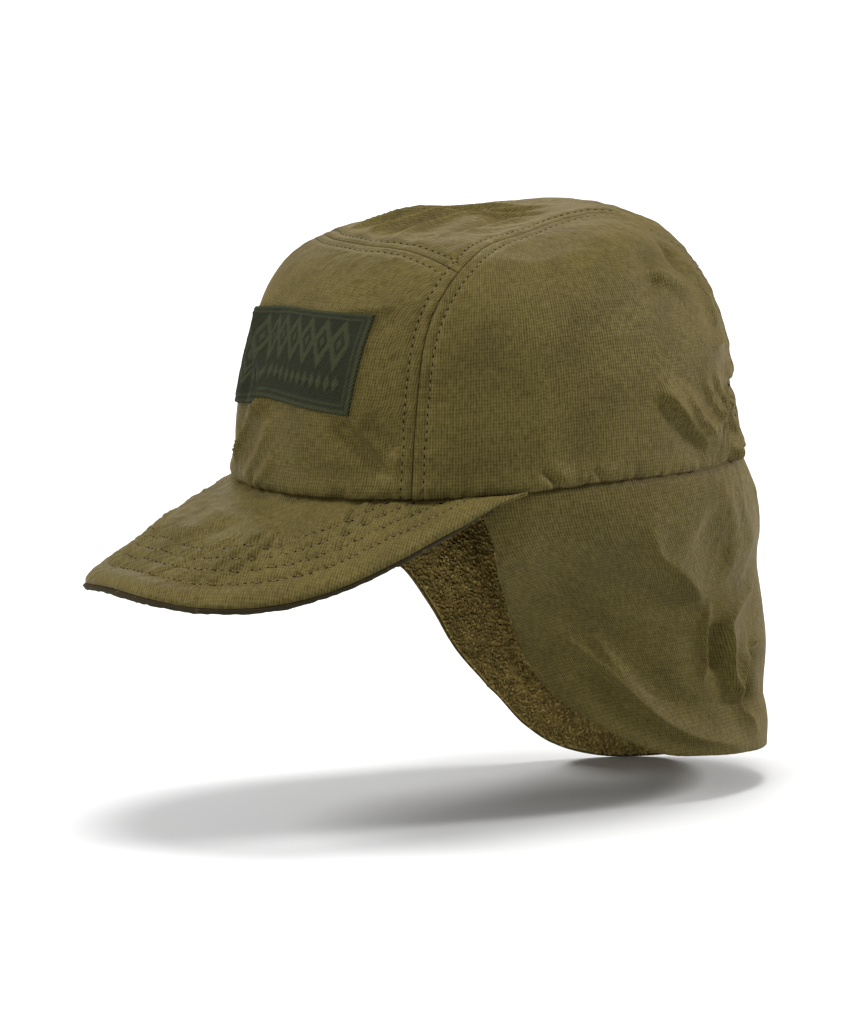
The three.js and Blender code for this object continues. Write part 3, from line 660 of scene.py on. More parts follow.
def crinkled_nylon():
    material, tree, shader = new_material("crinkled_nylon", {
        "Specular IOR Level": 0.2, "Specular Tint": linear(CLOTH_GLEAM), "Sheen Weight": 0.1,
        "Sheen Roughness": 0.4, "Sheen Tint": linear(CLOTH_GLEAM)})
    place = add(tree, "ShaderNodeUVMap", uv_map="weave").outputs[0]
    wave = {"Vector": place, "Scale": 2 * math.pi / 20 / RIB_PITCH, "Distortion": 1.6, "Detail": 2.0}
    warp = add(tree, "ShaderNodeTexWave", wave, bands_direction="X").outputs["Fac"]
    wave = {"Vector": place, "Scale": 2 * math.pi / 20 / BAR_PITCH, "Distortion": 2.0, "Detail": 2.0}
    weft = add(tree, "ShaderNodeTexWave", wave, bands_direction="Y").outputs["Fac"]
    tall, broad = (1.1 / RIB_PITCH, 0.34, 1), (0.25, 1.0, 1)
    upward = add(tree, "ShaderNodeMapping", {"Vector": place, "Scale": tall}).outputs[0]
    slubs = add(tree, "ShaderNodeTexNoise", {"Vector": upward, "Scale": 1.0, "Detail": 2.5}).outputs["Fac"]
    sideways = add(tree, "ShaderNodeMapping", {"Vector": place, "Scale": broad}).outputs[0]
    bars = add(tree, "ShaderNodeTexNoise", {"Vector": sideways, "Scale": 1.0, "Detail": 2.5}).outputs["Fac"]
    ribs = add(tree, "ShaderNodeMath", {0: warp, 1: 0.34}, operation="MULTIPLY").outputs[0]
    for thread, share in ((weft, 0.15), (slubs, 0.8), (bars, 0.42)):
        more = add(tree, "ShaderNodeMath", {0: thread, 1: share, 2: ribs}, operation="MULTIPLY_ADD")
        ribs = more.outputs[0]
    patchy = {"Vector": place, "Scale": 1 / DYE_PATCH, "Detail": 3.0, "Roughness": 0.55}
    dye = add(tree, "ShaderNodeTexNoise", patchy).outputs["Fac"]
    tone = add(tree, "ShaderNodeValToRGB", {"Fac": dye})
    ramp = tone.color_ramp.elements
    ramp[0].position, ramp[1].position = 0.3, 0.7
    ramp[0].color, ramp[1].color = linear(CLOTH_DARK), linear(CLOTH_LIGHT)
    ramp.new(0.5).color = linear(CLOTH_MIDDLE)
    # The threads are drawn lighter and the gaps between them darker: partly the yarns' uneven tone, partly
    # painted shade in the weave's hollows.
    hollows = add(tree, "ShaderNodeMapRange", {
        "Value": ribs, "From Min": 0.57, "From Max": 1.15, "To Min": 0.55, "To Max": 1.45}).outputs[0]
    colour = blended(tree, 1.0, tone.outputs["Color"], hollows, "MULTIPLY")
    # Painted shade: the seam value darkens the cloth in the seams' grooves, under the crown's edge and
    # along the peak's rows of stitches.
    seam = add(tree, "ShaderNodeAttribute", attribute_name="seam").outputs["Fac"]
    seam = add(tree, "ShaderNodeMath", {0: seam, 1: 0.24}, operation="MULTIPLY", use_clamp=True).outputs[0]
    colour = blended(tree, seam, colour, linear("#15120a"))
    crinkled = {"Vector": place, "Scale": 1 / CRINKLE, "Detail": 4.0, "Roughness": 0.55}
    crinkle = add(tree, "ShaderNodeTexNoise", crinkled).outputs["Fac"]
    height = add(tree, "ShaderNodeMath", {0: crinkle, 1: 3.0, 2: ribs}, operation="MULTIPLY_ADD")
    bump = add(tree, "ShaderNodeBump", {"Height": height.outputs[0], "Distance": 0.0002, "Strength": 1.0})
    rough = add(tree, "ShaderNodeMapRange", {
        "Value": slubs, "From Min": 0.3, "From Max": 0.7, "To Min": 0.68, "To Max": 0.54}).outputs[0]
    for socket, source in (("Base Color", colour), ("Roughness", rough), ("Normal", bump.outputs[0])):
        tree.links.new(source, shader.inputs[socket])
    return material


nylon = crinkled_nylon()
for node_name, panel in crown.items():
    panel.data.materials.append(nylon)
    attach(panel, "root")
    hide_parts(node_name)

# Badge
# A dark green woven patch, about 95 by 38 mm, with a satin-stitched edge and raised embroidery in the
# same thread. It is sewn to the front panel and creases with it.
# Height on the dome, and half the angle round it, of the lower and upper edge
BADGE_EDGES = [(34, 31.6), (76, 35.6)]
BADGE_WIDTH, BADGE_HEIGHT, BADGE_THICKNESS = 96, 39, 1.0
# The badge's trim: one wide lozenge on the wearer's right, then rows of narrow and of small ones
MARK_WIDTH, TRIM_MARGIN, LOZENGES, SMALL_PITCH = 33, 6, 7, 3.8
# How far the badge's lower and upper edges stray from level, from the wearer's right to the left. The
# fold down the middle of the front takes up about 10 mm of the right half and lets it sag.
BADGE_LOWER_SAG = [
    (0, -6), (0.25, -3.8), (0.4, -1.9), (0.465, -1), (0.51, 1.8), (0.58, 1.6), (0.75, 0.3), (1, -2),
]
BADGE_UPPER_SAG = [
    (0, -11), (0.2, -8), (0.35, -3.8), (0.46, -0.4), (0.56, 1.2), (0.75, 0.9), (1.08, -0.8),
]


def badge_motifs(x, y, width, height):
    """Raised thread on the badge, 0 to 1: its edge, an inner line, and a plain lozenge trim."""
    edge = np.minimum(np.minimum(x, width - x), np.minimum(y, height - y))
    border = 1 - smooth(edge, 1.5, 1.9)
    line = np.exp(-(((edge - 3.2) / 0.42) ** 2))

    def stroke(distance, half):
        return 1 - smooth(np.abs(distance), half - 0.25, half + 0.35)

    inside = (x > MARK_WIDTH) & (x < width - TRIM_MARGIN)
    step = (width - MARK_WIDTH - TRIM_MARGIN) / LOZENGES
    place = (x - MARK_WIDTH) / step
    lozenge = np.abs(place - np.floor(place) - 0.5) * 2
    rise = np.abs(y - 0.64 * height) / (0.225 * height)
    trim = np.where(inside, stroke((lozenge + rise - 0.92) * 3.2, 0.9), 0)
    trim = np.maximum(trim, np.where(inside, 1 - smooth(lozenge + rise, 0.24, 0.36), 0))
    place = (x - MARK_WIDTH) / SMALL_PITCH
    small = np.abs(place - np.floor(place) - 0.5) * 2
    low = np.abs(y - 0.26 * height) / (0.1 * height)
    trim = np.maximum(trim, np.where(inside, 1 - smooth(small + low, 0.72, 0.9), 0))
    big = np.abs(x - 18) / 11 + np.abs(y - height / 2) / 12.5
    mark = np.maximum(stroke((big - 0.92) * 8, 0.8), stroke((big - 0.56) * 8, 0.8))
    mark = np.maximum(mark, 1 - smooth(big, 0.2, 0.27))
    return border, np.clip(np.maximum(np.maximum(trim, mark), line), 0, 1)


across = shares(BADGE_WIDTH, 0.55, [0, 0.3, 0.6], [0, 0.3, 0.6])
up = shares(BADGE_HEIGHT, 0.55, [0, 0.3, 0.6], [0, 0.3, 0.6])
u, v = np.meshgrid(across, up)
half_angle = BADGE_EDGES[0][1] + (BADGE_EDGES[1][1] - BADGE_EDGES[0][1]) * v
past_middle = np.maximum(1 - 2 * u, 0)
reach_round = half_angle * (1 - 2 * u - (0.14 + 0.06 * v) * past_middle**2)
badge_x, badge_y = oval(180 + reach_round, RIM_HALF_WIDTH, RIM_HALF_LENGTH)
sag = table_value(BADGE_LOWER_SAG, u) * (1 - v) + table_value(BADGE_UPPER_SAG, u + 0.08 * v) * v
badge_z = BADGE_EDGES[0][0] + (BADGE_EDGES[1][0] - BADGE_EDGES[0][0]) * v + sag
badge_guide = np.stack([badge_x, badge_y, badge_z], -1)
front_face, badge_normal, _, _ = crown_shape(badge_guide, u * 0 + 0.5, v * 0 + 0.5, PANEL_PUFF)
border, thread = badge_motifs(u * BADGE_WIDTH, v * BADGE_HEIGHT, BADGE_WIDTH, BADGE_HEIGHT)
hem = np.minimum(np.minimum(u, 1 - u) * BADGE_WIDTH, np.minimum(v, 1 - v) * BADGE_HEIGHT)
badge_uv = np.stack([u * BADGE_WIDTH, v * BADGE_HEIGHT], -1)
twill = 0.16 * noise(np.concatenate([badge_uv, u[..., None] * 0], -1), 1.2, 61)
lift = BADGE_THICKNESS + 0.25 * border + 0.35 * thread + twill - rolled(hem, 0.9)
badge_face = front_face + badge_normal * lift[..., None]
badge_back = front_face - badge_normal * 1.2
badge_values = {"thread": np.maximum(border, thread), "edge": border}
badge = wall("badge_patch", badge_face, badge_back, badge_uv, badge_values)

# Polyester embroidery thread over a woven ground: matt and dark green. The raised thread is painted lighter
# than the ground, with bands of painted highlight along its parallel threads where they stand proud. The
# threads are drawn 0.9 mm apart, coarser than real ones, to show.
EMBROIDERY_PITCH = 0.9
GROUND_GRAINS_PER_MM = 1.3
material, tree, shader = new_material("polyester_embroidery", {
    "Roughness": 0.8, "Specular IOR Level": 0.1})
place = add(tree, "ShaderNodeUVMap", uv_map="weave").outputs[0]
turned = add(tree, "ShaderNodeMapping", {"Vector": place, "Rotation": (0, 0, 0.6)}).outputs[0]
wave = {"Vector": turned, "Scale": 2 * math.pi / 20 / EMBROIDERY_PITCH, "Distortion": 2.5, "Detail": 2.0}
threads = add(tree, "ShaderNodeTexWave", wave, bands_direction="X").outputs["Fac"]
grainy = {"Vector": place, "Scale": GROUND_GRAINS_PER_MM, "Detail": 3.0}
grain = add(tree, "ShaderNodeTexNoise", grainy).outputs["Fac"]
raised = add(tree, "ShaderNodeAttribute", attribute_name="thread").outputs["Fac"]
ground = blended(tree, grain, linear("#131409"), linear("#26281a"))
# Painted highlight: the raised thread is lighter than the ground, and lighter again along the crests of its
# threads.
stitched = blended(tree, threads, linear("#212416"), linear("#363924"))
colour = blended(tree, raised, ground, stitched)
height = add(tree, "ShaderNodeMath", {0: grain, 1: 1.5, 2: threads}, operation="MULTIPLY_ADD")
bump = add(tree, "ShaderNodeBump", {"Height": height.outputs[0], "Distance": 0.0002, "Strength": 0.8})
tree.links.new(colour, shader.inputs["Base Color"])
tree.links.new(bump.outputs[0], shader.inputs["Normal"])
badge.data.materials.append(material)
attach(badge, "root")
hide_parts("badge")

# Peak
# A thin flexible peak: nylon over padding, with a fat rolled edge and four rows of stitches that follow
# it. Its root is caught in the seam under the crown.
# Angle from the middle of the front, and the place of the free edge at it on the wearer's left
PEAK_EDGE = [
    (0, 0, -166, -31), (12, 25, -163.8, -31.8), (22, 45, -155, -33.3), (32, 62, -141, -33),
    (42, 74, -125.5, -30.5), (50, 81, -108, -25.5), (57, 85, -88, -18), (63, 87, -68, -10),
    (69, 88, -48, -3.5), (74, 87.5, -30, 0),
]
# Angle from the front at which the peak ends on each side
PEAK_END = 74
# Height, width and points of each hollow or swelling
PEAK_FORMS = [
    (-1.8, 9, [(8, -106, -6), (24, -104, -8)]),
    (1.8, 8, [(2, -118, -16), (-4, -140, -24)]),
    (1.4, 6, [(36, -112, -16), (34, -136, -28)]),
]
# Thickness of the cover, and the flat size that it was cut to, in metres
PEAK_COVER, PEAK_CUT = 2.2, (0.33, 0.075)
# From its edge to its root along the middle, and how far past the seam the root reaches, as a share
PEAK_DEPTH, PEAK_ROOT_TUCK = 68, 0.04
# How far the peak arches up between root and edge, on the wearer's right and left, and how far its right
# corner hangs lower than its left one
PEAK_BULGE = (0.8, 3.4)
PEAK_FAR_DROP = 2.6
# Distances of the rows of stitches from the edge, and how deep they pull the cover in
PEAK_ROWS = [11.5, 18.6, 24.8, 31]
PEAK_ROW_DEPTH = 0.75


def peak_face(angle, s):
    """The peak's face from the root, at s 0, to its free edge, at s 1."""
    turned = np.abs(angle)
    tuck = -1.8 + 3.4 * smooth(turned, 56, 62)
    x, y = oval(180 - angle, 1, 1)
    x, y = x * (RIM_HALF_WIDTH + tuck), y * (RIM_HALF_LENGTH + tuck)
    root = np.stack([x, y, rim_height(y) - 0.35], -1)
    tip = np.stack([np.sign(angle) * table_value(PEAK_EDGE, turned, 1),
                    table_value(PEAK_EDGE, turned, 2), table_value(PEAK_EDGE, turned, 3)], -1)
    closing = (1 - smooth(PEAK_END - turned, 0, 9))[..., None]
    tip = tip - closing * np.stack([3.2 * np.sign(angle), angle * 0, angle * 0 - 0.8], -1)
    point = root + (tip - root) * s[..., None]
    bulge = PEAK_BULGE[0] + (PEAK_BULGE[1] - PEAK_BULGE[0]) * smooth(angle, 4, 30)
    point[..., 2] += (bulge * 4 * s * (1 - s) * np.cos(np.radians(angle))
                      - PEAK_FAR_DROP * smooth(-angle, 0, 30) * (1 - smooth(-angle, 50, 70)) * s**2)
    return point


edge_angles = np.linspace(-PEAK_END, PEAK_END, 200)
peak_rim = peak_face(edge_angles, np.ones(200))
angle_share = shares(line_length(peak_rim), WEAVE_STEP, [0, 0.4, 0.9, 1.5], [0, 0.4, 0.9, 1.5])
peak_angle = np.interp(angle_share * line_length(peak_rim), places_along(peak_rim), edge_angles)
reach = shares(PEAK_DEPTH, WEAVE_STEP, [0, 0.25, 0.55, 0.95, 1.5, 2.2], [0, 0.7])
reach = 1 - (1 + PEAK_ROOT_TUCK) * reach
angle, s = np.meshgrid(peak_angle, reach)
face = peak_face(angle, s)
peak_normal = grid_normals(face)
edge, edge_place = near_line(face, peak_rim)
peak_edge_distance = np.maximum.accumulate(edge, axis=0)
taper = smooth(PEAK_END - np.abs(angle), 0, 13)
relief = 1.3 * np.exp(-(((edge - 5.2) / 4) ** 2)) * taper
for k, row in enumerate(PEAK_ROWS):
    tug = noise_along(edge_place + 0.9 * edge, 3.0, 70 + k)
    relief = relief - (PEAK_ROW_DEPTH + 0.2 * tug) * taper * np.exp(-(((edge - row) / 0.95) ** 2))
between = smooth(edge, 8, 13) * (1 - smooth(edge, 34, 44))
skew = edge_place - 1.1 * edge
at_front = np.exp(-(((angle - 12) / 26) ** 2))
puckers = gathers(skew, 9, 81) * (0.55 + 0.6 * at_front)
puckers = puckers + gathers(edge_place - 0.8 * edge, 5, 83) * 0.4
relief = relief + puckers * taper * (between + 0.3 * np.exp(-(((edge - 5) / 5) ** 2)))
for height, width, line in PEAK_FORMS:
    relief = relief + height * np.exp(-((near_line(face, line, peak_normal)[0] / width) ** 2))
at_root = smooth(s, 0.02, 0.2)
relief = relief + at_root * smooth(edge, 20, 34) * crumpled(face, (16, 12, 14), 85)
relief = relief + 0.45 * noise(face, 24, 88) * at_root
relief = relief - 1.15 * rolled(edge, 1.5)
top = face + peak_normal * (relief * smooth(s, 0, 0.05))[..., None]
top[..., 2] += 0.5 * (1 - smooth(s, -0.03, 0.03))
depth = PEAK_COVER * (1 - 0.35 * s**3) * (0.3 + 0.7 * taper)
under = face - peak_normal * (depth - 0.5 * rolled(edge, 1.5))[..., None]
# The cloth is cut at a slant to the peak's middle.
slant = math.radians(40)
peak_uv = np.stack([face[..., 0] * math.cos(slant) + face[..., 1] * math.sin(slant),
                    face[..., 1] * math.cos(slant) - face[..., 0] * math.sin(slant)], -1)
# Painted shade along the rows of stitches, in the grooves where they pull the cover in. It is stored as the
# seam value.
row_shade = sum(np.exp(-(((edge - row) / 0.5) ** 2)) for row in PEAK_ROWS) * 0.22
peak = wall("peak_cover_cloth", top, under, peak_uv, {"seam": row_shade})
peak.data.materials.append(nylon)
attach(peak, "root")
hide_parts("peak_cover")

# Flap
# One long nylon piece sewn under the crown's lower edge from ear to ear. Its free edge is turned in over
# the fleece and flares outwards, and the cloth below the back of the head hangs in deep folds.
# Thickness of the cloth, and the flat size that it was cut to, in metres
FLAP_CLOTH, FLAP_CUT = 1.3, (0.42, 0.13)
# Height, half width, reach to the back, and place of the widest point
FLAP_SECTIONS = [
    (6, 85, 102.5, 0), (0, 85, 102.5, 0), (-9, 84.5, 106.5, 2), (-21, 80, 109.5, 8), (-35, 71, 112.5, 20),
    (-49, 62, 113.5, 30), (-66, 57, 116.5, 40), (-82, 54, 118, 47), (-100, 51.5, 115.5, 54),
    (-110, 50, 112.5, 56), (-120, 48.5, 108.5, 57), (-136, 47.5, 102, 57),
]
# Angle from the middle of the back, and height, along each free edge
FLAP_LEFT_EDGE = [(117, 0), (115.5, -19), (120, -33), (125.5, -49), (130, -65), (129.5, -79), (124.5, -92)]
FLAP_HEM = [
    (124.5, -92), (115, -103.5), (100, -112.5), (80, -116), (53, -118), (20, -120), (-15, -127),
    (-45, -133), (-68, -133.5), (-88, -128), (-102, -117), (-112, -99),
]
FLAP_RIGHT_EDGE = [
    (-117, 0), (-116, -19), (-113, -33), (-110.5, -47), (-113, -63), (-115, -81), (-112, -99),
]
# How far its top reaches up behind the crown's edge, and its size as a grid
FLAP_TUCKED_UP = 2.2
FLAP_WIDTH, FLAP_DROP = 390, 118
# Mean mm round the flap for a degree, for the weave
FLAP_DEGREE = 1.66
# How far the free edge flares out, over what width, and the heights of its crumples
LIP_FLARE, LIP_WIDTH = 7, 19.5
FLAP_CRUMPLE, FLAP_UNEVEN = 0.42, 0.35
# The columns of the next two tables are those of the crown's.
FLAP_FORMS = [
    (3, 8, [(49, 78, -63), (43, 88, -87)]),
    (1.2, 8, [(43, 88, -87), (25, 108, -110)]),
    (-1, 10, [(40, 94, -52), (36, 99, -92)]),
    (2, 9, [(81, 28, -14), (60, 58, -46)]),
    (-4, 10, [(-30, 104, -45), (-24, 110, -95)]),
    (2.5, 9, [(-56, 62, -60), (-48, 78, -105)]),
]
FLAP_CREASES = [
    (2.0, 3, 1, [(53, -8, -52), (53, 10, -68), (53, 24, -80), (52, 40, -95), (52, 56, -106), (50, 76, -113),
                 (40, 92, -116)]),
    (2.0, 3.2, 1, [(82, 22, -14), (74, 33, -30), (69, 45, -38), (60, 58, -50), (57, 64, -60)]),
    (-1.8, 8, 0, [(73, 53, -18), (64, 65, -31), (54, 79, -42)]),
    (1.8, 2.6, 1, [(58, 66, -52), (55, 65, -69), (54, 66, -78), (53, 64, -90)]),
    (-1.8, 3.6, 0, [(56, 70, -62), (53, 72, -72), (52, 73, -86)]),
    (2.6, 2.8, 1, [(53, 76, -60), (52, 79, -75), (51, 81, -87), (46, 87, -100), (38, 97, -114)]),
    (1.6, 2.6, 1, [(36, 99, -53), (42, 94, -56), (52, 81, -60), (54, 76, -67)]),
    (2.3, 2.6, 1, [(34, 101, -72), (40, 97, -78), (49, 88, -84), (50, 83, -98)]),
    (-4, 5, 0, [(38, 98, -76), (45, 93, -88), (45, 91, -106)]),
    (0.6, 4, 0, [(63, 76, -8), (54, 86, -26), (42, 95, -40)]),
    (0.6, 4, 0, [(70, 66, -6), (64, 74, -20), (58, 80, -34)]),
    (1.2, 4, 0, [(46, 90, -8), (30, 104, -30), (16, 110, -44)]),
    (1.3, 3.4, 1, [(60, 10, -60), (57, 30, -84), (55, 46, -98)]),
    (1.8, 3.4, 1, [(-82, 20, -16), (-70, 48, -38), (-58, 66, -60), (-53, 70, -84)]),
    (1.8, 3, 1, [(-26, 106, -40), (-40, 96, -62), (-50, 82, -86), (-46, 86, -108)]),
    (-1.8, 6, 0, [(-12, 112, -50), (-22, 110, -74), (-20, 108, -100)]),
    (1.8, 3.2, 1, [(6, 112, -46), (0, 116, -70), (8, 114, -94), (2, 110, -112)]),
    (1.4, 3, 1, [(-56, 30, -80), (-54, 50, -100), (-50, 70, -118)]),
]


def flap_face(angle, z):
    """The flap's smooth outer face, without its folds."""
    middle = table_value(FLAP_SECTIONS, z, 3)
    half_width = table_value(FLAP_SECTIONS, z, 1)
    x, y = oval(angle, 1, 1)
    return np.stack([x * half_width, middle + y * (table_value(FLAP_SECTIONS, z, 2) - middle), z], -1)


def edge_line(rows):
    line = smooth_line(rows)
    return np.concatenate([line, np.zeros((len(line), 1))], 1)


left_edge, hem_edge = edge_line(FLAP_LEFT_EDGE), edge_line(FLAP_HEM)
right_edge = edge_line(FLAP_RIGHT_EDGE)
free_edge = np.concatenate([left_edge, hem_edge, right_edge[::-1]])[::8]
free_edge = flap_face(free_edge[:, 0], free_edge[:, 1])
FINE_EDGE = [0, 0.25, 0.6, 1.0, 1.5, 2.1, 2.8, 3.6]


def flap_grid(step, inset=0.0):
    """Angles and heights from the wearer's right to the left and from the rim down, short of the edge."""
    first = [inset + e for e in FINE_EDGE]
    across = shares(FLAP_WIDTH, step, first, first)
    up = shares(FLAP_DROP, step, [0, 0.6, 1.3, 2.1], first)
    top_angles = np.linspace(FLAP_RIGHT_EDGE[0][0], FLAP_LEFT_EDGE[0][0], 400)
    top_edge = np.stack([top_angles, np.zeros(400), np.zeros(400)], -1)
    guide = filled(across, up, top_edge, hem_edge[::-1], right_edge, left_edge)
    angle = guide[..., 0]
    rim = rim_height(flap_face(angle, angle * 0)[..., 1]) + FLAP_TUCKED_UP
    return angle, guide[..., 1] + rim * (1 - up[:, None])


def flap_shape(angle, z):
    """The flap's outer face with its lip, folds and gathers, and each point's distance from the edge."""
    face = flap_face(angle, z)
    across = flap_face(angle + 1, z) - flap_face(angle - 1, z)
    down = flap_face(angle, z - 1) - flap_face(angle, z + 1)
    normal = unit(np.cross(across, down))
    edge, place = near_line(face, free_edge)
    below = smooth(-z, 2, 26)
    out = np.zeros(z.shape)
    for height, width, line in FLAP_FORMS:
        out = out + height * np.exp(-((near_line(face, line)[0] / width) ** 2))
    out = (out + LIP_FLARE * np.clip(1 - edge / LIP_WIDTH, 0, 1) ** 1.06) * below
    body = face + normal * out[..., None]
    calm = 1 - 0.7 * smooth(body[..., 1], 84, 104)
    relief = creased(body, normal, FLAP_CREASES) * (0.5 + 0.5 * calm)
    inside = smooth(edge, 4, 22)
    share = below * (0.08 + 0.92 * inside) * FLAP_CRUMPLE * calm
    relief = relief + share * crumpled(body, (24, 24, 30), 111)
    relief = relief + below * inside * calm * FLAP_UNEVEN * noise(body, (30, 30, 45), 121)
    relief = relief + below * 0.14 * noise_along(place, 11, 131) * np.exp(-((edge - 3) / 7) ** 2)
    around = np.arctan2(face[..., 0], face[..., 1]) * RIM_HALF_LENGTH
    at_back = smooth(face[..., 1], 30, 75)
    tucks = gathers(around, 7, 141) * 0.6 + gathers(around, 3.3, 143) * 0.3
    relief = relief + tucks * np.exp(z / (9 + 12 * at_back)) * (0.3 + 0.3 * at_back) * smooth(-z, -2, 3)
    return body + normal * relief[..., None], normal, edge


angle, z = flap_grid(1.05)
outer, normal, edge = flap_shape(angle, z)
thick = FLAP_CLOTH + 1.0 * (1 - smooth(edge, 0.9, 2.2)) * smooth(-z, 1, 12)
turned_in = np.minimum(rolled(edge, 1.2), thick / 2 - 0.05)
tucked = 1.3 * (1 - smooth(-z, -3, 1.8))
face = outer - normal * (turned_in + tucked)[..., None]
back = outer - normal * (thick - turned_in + tucked)[..., None]
# Painted shadow along the flap's top, under the overhanging edge of the crown.
flap_values = {"seam": 3 * np.exp(-(((z + 0.2 - rim_height(face[..., 1])) / 0.9) ** 2))}
flap_uv = np.stack([angle * FLAP_DEGREE, z], -1)
flap = wall("flap_cloth_outer", face, back, flap_uv, flap_values)
flap.data.materials.append(nylon)
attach(flap, "root")
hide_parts("flap_cloth")

# Fleece facings
# Curly olive pile fleece on a knitted ground, about 3 mm thick. It lines the flap inside the turned edge
# and the whole underside of the peak, where its nubs stand proud of the edge.
# Thickness of the ground without its pile, and how far round from the front the peak's fleece goes
FLAP_FLEECE, PEAK_FLEECE = 1.9, 2.5
PEAK_FLEECE_END = 70
angle, z = flap_grid(1.35, 0.8)
outer, normal, edge = flap_shape(angle, z)
nubs = 0.3 * noise(outer, 1.9, 151) + 0.35 * noise(outer, 4.2, 152)
pressed = 0.4 + 0.6 * smooth(edge, 1, 8)
ground_front = outer - normal * (FLAP_CLOTH + 0.2)
ground_back = outer - normal * (FLAP_CLOTH + 0.2 + (FLAP_FLEECE + nubs) * pressed)[..., None]
flap_tone = {"tone": (0.75 + 0.3 * nubs)[:, ::-1]}
flap_ground = wall(
    "flap_fleece_ground", ground_back[:, ::-1], ground_front[:, ::-1], weave_uv(outer)[:, ::-1], flap_tone)

reach = np.concatenate([[1.022, 1.015, 1.006, 0.995, 0.98, 0.96, 0.925], np.linspace(0.885, 0.01, 30)])
angle, s = np.meshgrid(np.linspace(-PEAK_FLEECE_END, PEAK_FLEECE_END, 96 * 3 + 1), reach)
face = peak_face(angle, s)
normal = grid_normals(face)
closed = smooth(PEAK_END - np.abs(angle), 2, 12)
start = (PEAK_COVER * (1 - 0.35 * s**3) - 0.1) * closed
nubs = 0.35 * noise(face, 1.7, 155) + 0.25 * noise(face, 3.2, 156)
bulk = (PEAK_FLEECE - 0.8 * smooth(s, 1.0, 1.022) + nubs) * closed
peak_top = face - normal * start[..., None]
peak_bottom = face - normal * (start + bulk)[..., None]
# Painted shade: the fleece under the peak is given the lowest tones, which map to the darkest colour, as it
# faces down out of the light.
peak_painted_shade_tone = {"tone": (-0.2 + 0.25 * nubs)[:, ::-1]}
peak_ground = wall(
    "peak_fleece_ground", peak_bottom[:, ::-1], peak_top[:, ::-1], weave_uv(face)[:, ::-1], peak_painted_shade_tone)


def pile_side(name, grid):
    """The face that the pile grows from, as a thin mesh of its own."""
    rows, columns = grid.shape[:2]
    faces = grid_faces(np.arange(rows * columns).reshape(rows, columns))[:, ::-1]
    return mesh_piece(name, grid.reshape(-1, 3), faces.tolist(), np.zeros((rows * columns, 2)))


def inputs_and_outputs(tree, sockets):
    """Gives a Geometry Nodes tree its named inputs and its geometry output."""
    tree.interface.new_socket(name="Geometry", in_out="OUTPUT", socket_type="NodeSocketGeometry")
    tree.interface.new_socket(name="Geometry", in_out="INPUT", socket_type="NodeSocketGeometry")
    for name, kind in sockets:
        tree.interface.new_socket(name=name, in_out="INPUT", socket_type=kind)
    return tree.nodes.new("NodeGroupInput").outputs, tree.nodes.new("NodeGroupOutput")


def made_by(tree, base, name, settings):
    """Runs a tree on a base object, and keeps the result as a plain mesh of its own."""
    modifier = base.modifiers.new("made", "NODES")
    modifier.node_group = tree
    for item in tree.interface.items_tree:
        if item.in_out == "INPUT" and item.name in settings:
            modifier[item.identifier] = settings[item.name]
    graph = bpy.context.evaluated_depsgraph_get()
    mesh = bpy.data.meshes.new_from_object(base.evaluated_get(graph), depsgraph=graph)
    mesh.name = name
    piece = new_object(name, mesh)
    bpy.data.objects.remove(base)
    return piece


# One curl of pile is a short bent thread, set at a random turn on each of many evenly spread places. It
# is thicker than a real fibre, so that the curls show, and its sizes are in metres.
pile = bpy.data.node_groups.new("curly_pile", "GeometryNodeTree")
given, result = inputs_and_outputs(pile, [
    ("Spacing", "NodeSocketFloat"), ("Curl", "NodeSocketFloat"), ("Thickness", "NodeSocketFloat"),
    ("Darkest", "NodeSocketFloat"), ("Palest", "NodeSocketFloat"),
    ("Seed", "NodeSocketInt"), ("Material", "NodeSocketMaterial")])
spread = add(pile, "GeometryNodeDistributePointsOnFaces", {
    "Mesh": given["Geometry"], "Distance Min": given["Spacing"], "Density Max": 2.0e6,
    "Seed": given["Seed"]}, distribute_method="POISSON")
arc = add(pile, "GeometryNodeCurveArc", {
    "Resolution": 4, "Radius": given["Curl"], "Sweep Angle": math.radians(190)})
bent = add(pile, "GeometryNodeSetPosition", {"Geometry": arc.outputs[0]})
where = add(pile, "ShaderNodeSeparateXYZ", {0: add(pile, "GeometryNodeInputPosition").outputs[0]})
lifted = add(pile, "ShaderNodeMath", {0: where.outputs[0], 1: 0.6}, operation="MULTIPLY").outputs[0]
pile.links.new(add(pile, "ShaderNodeCombineXYZ", {"Z": lifted}).outputs[0], bent.inputs["Offset"])
profile = add(pile, "GeometryNodeCurvePrimitiveCircle", {"Resolution": 3, "Radius": given["Thickness"]})
curl = add(pile, "GeometryNodeCurveToMesh", {
    "Curve": bent.outputs[0], "Profile Curve": profile.outputs[0], "Fill Caps": True})
stood = add(pile, "GeometryNodeTransform", {
    "Geometry": curl.outputs[0], "Rotation": (math.radians(60), 0, 0), "Translation": (0, 0, 0.0003)})
spin = add(pile, "FunctionNodeRandomValue", {
    0: (-0.6, -0.6, 0), 1: (0.6, 0.6, 6.28), "Seed": 5}, data_type="FLOAT_VECTOR").outputs[0]
spin = add(pile, "FunctionNodeEulerToRotation", {0: spin}).outputs[0]
turn = add(pile, "FunctionNodeRotateRotation", {
    0: spread.outputs["Rotation"], 1: spin}, rotation_space="LOCAL").outputs[0]
size = add(pile, "FunctionNodeRandomValue", {2: 0.75, 3: 1.3, "Seed": 6}, data_type="FLOAT").outputs[1]
set_out = add(pile, "GeometryNodeInstanceOnPoints", {
    "Points": spread.outputs["Points"], "Instance": stood.outputs[0], "Rotation": turn, "Scale": size})
tone = add(pile, "FunctionNodeRandomValue", {
    2: given["Darkest"], 3: given["Palest"], "Seed": 7}, data_type="FLOAT").outputs[1]
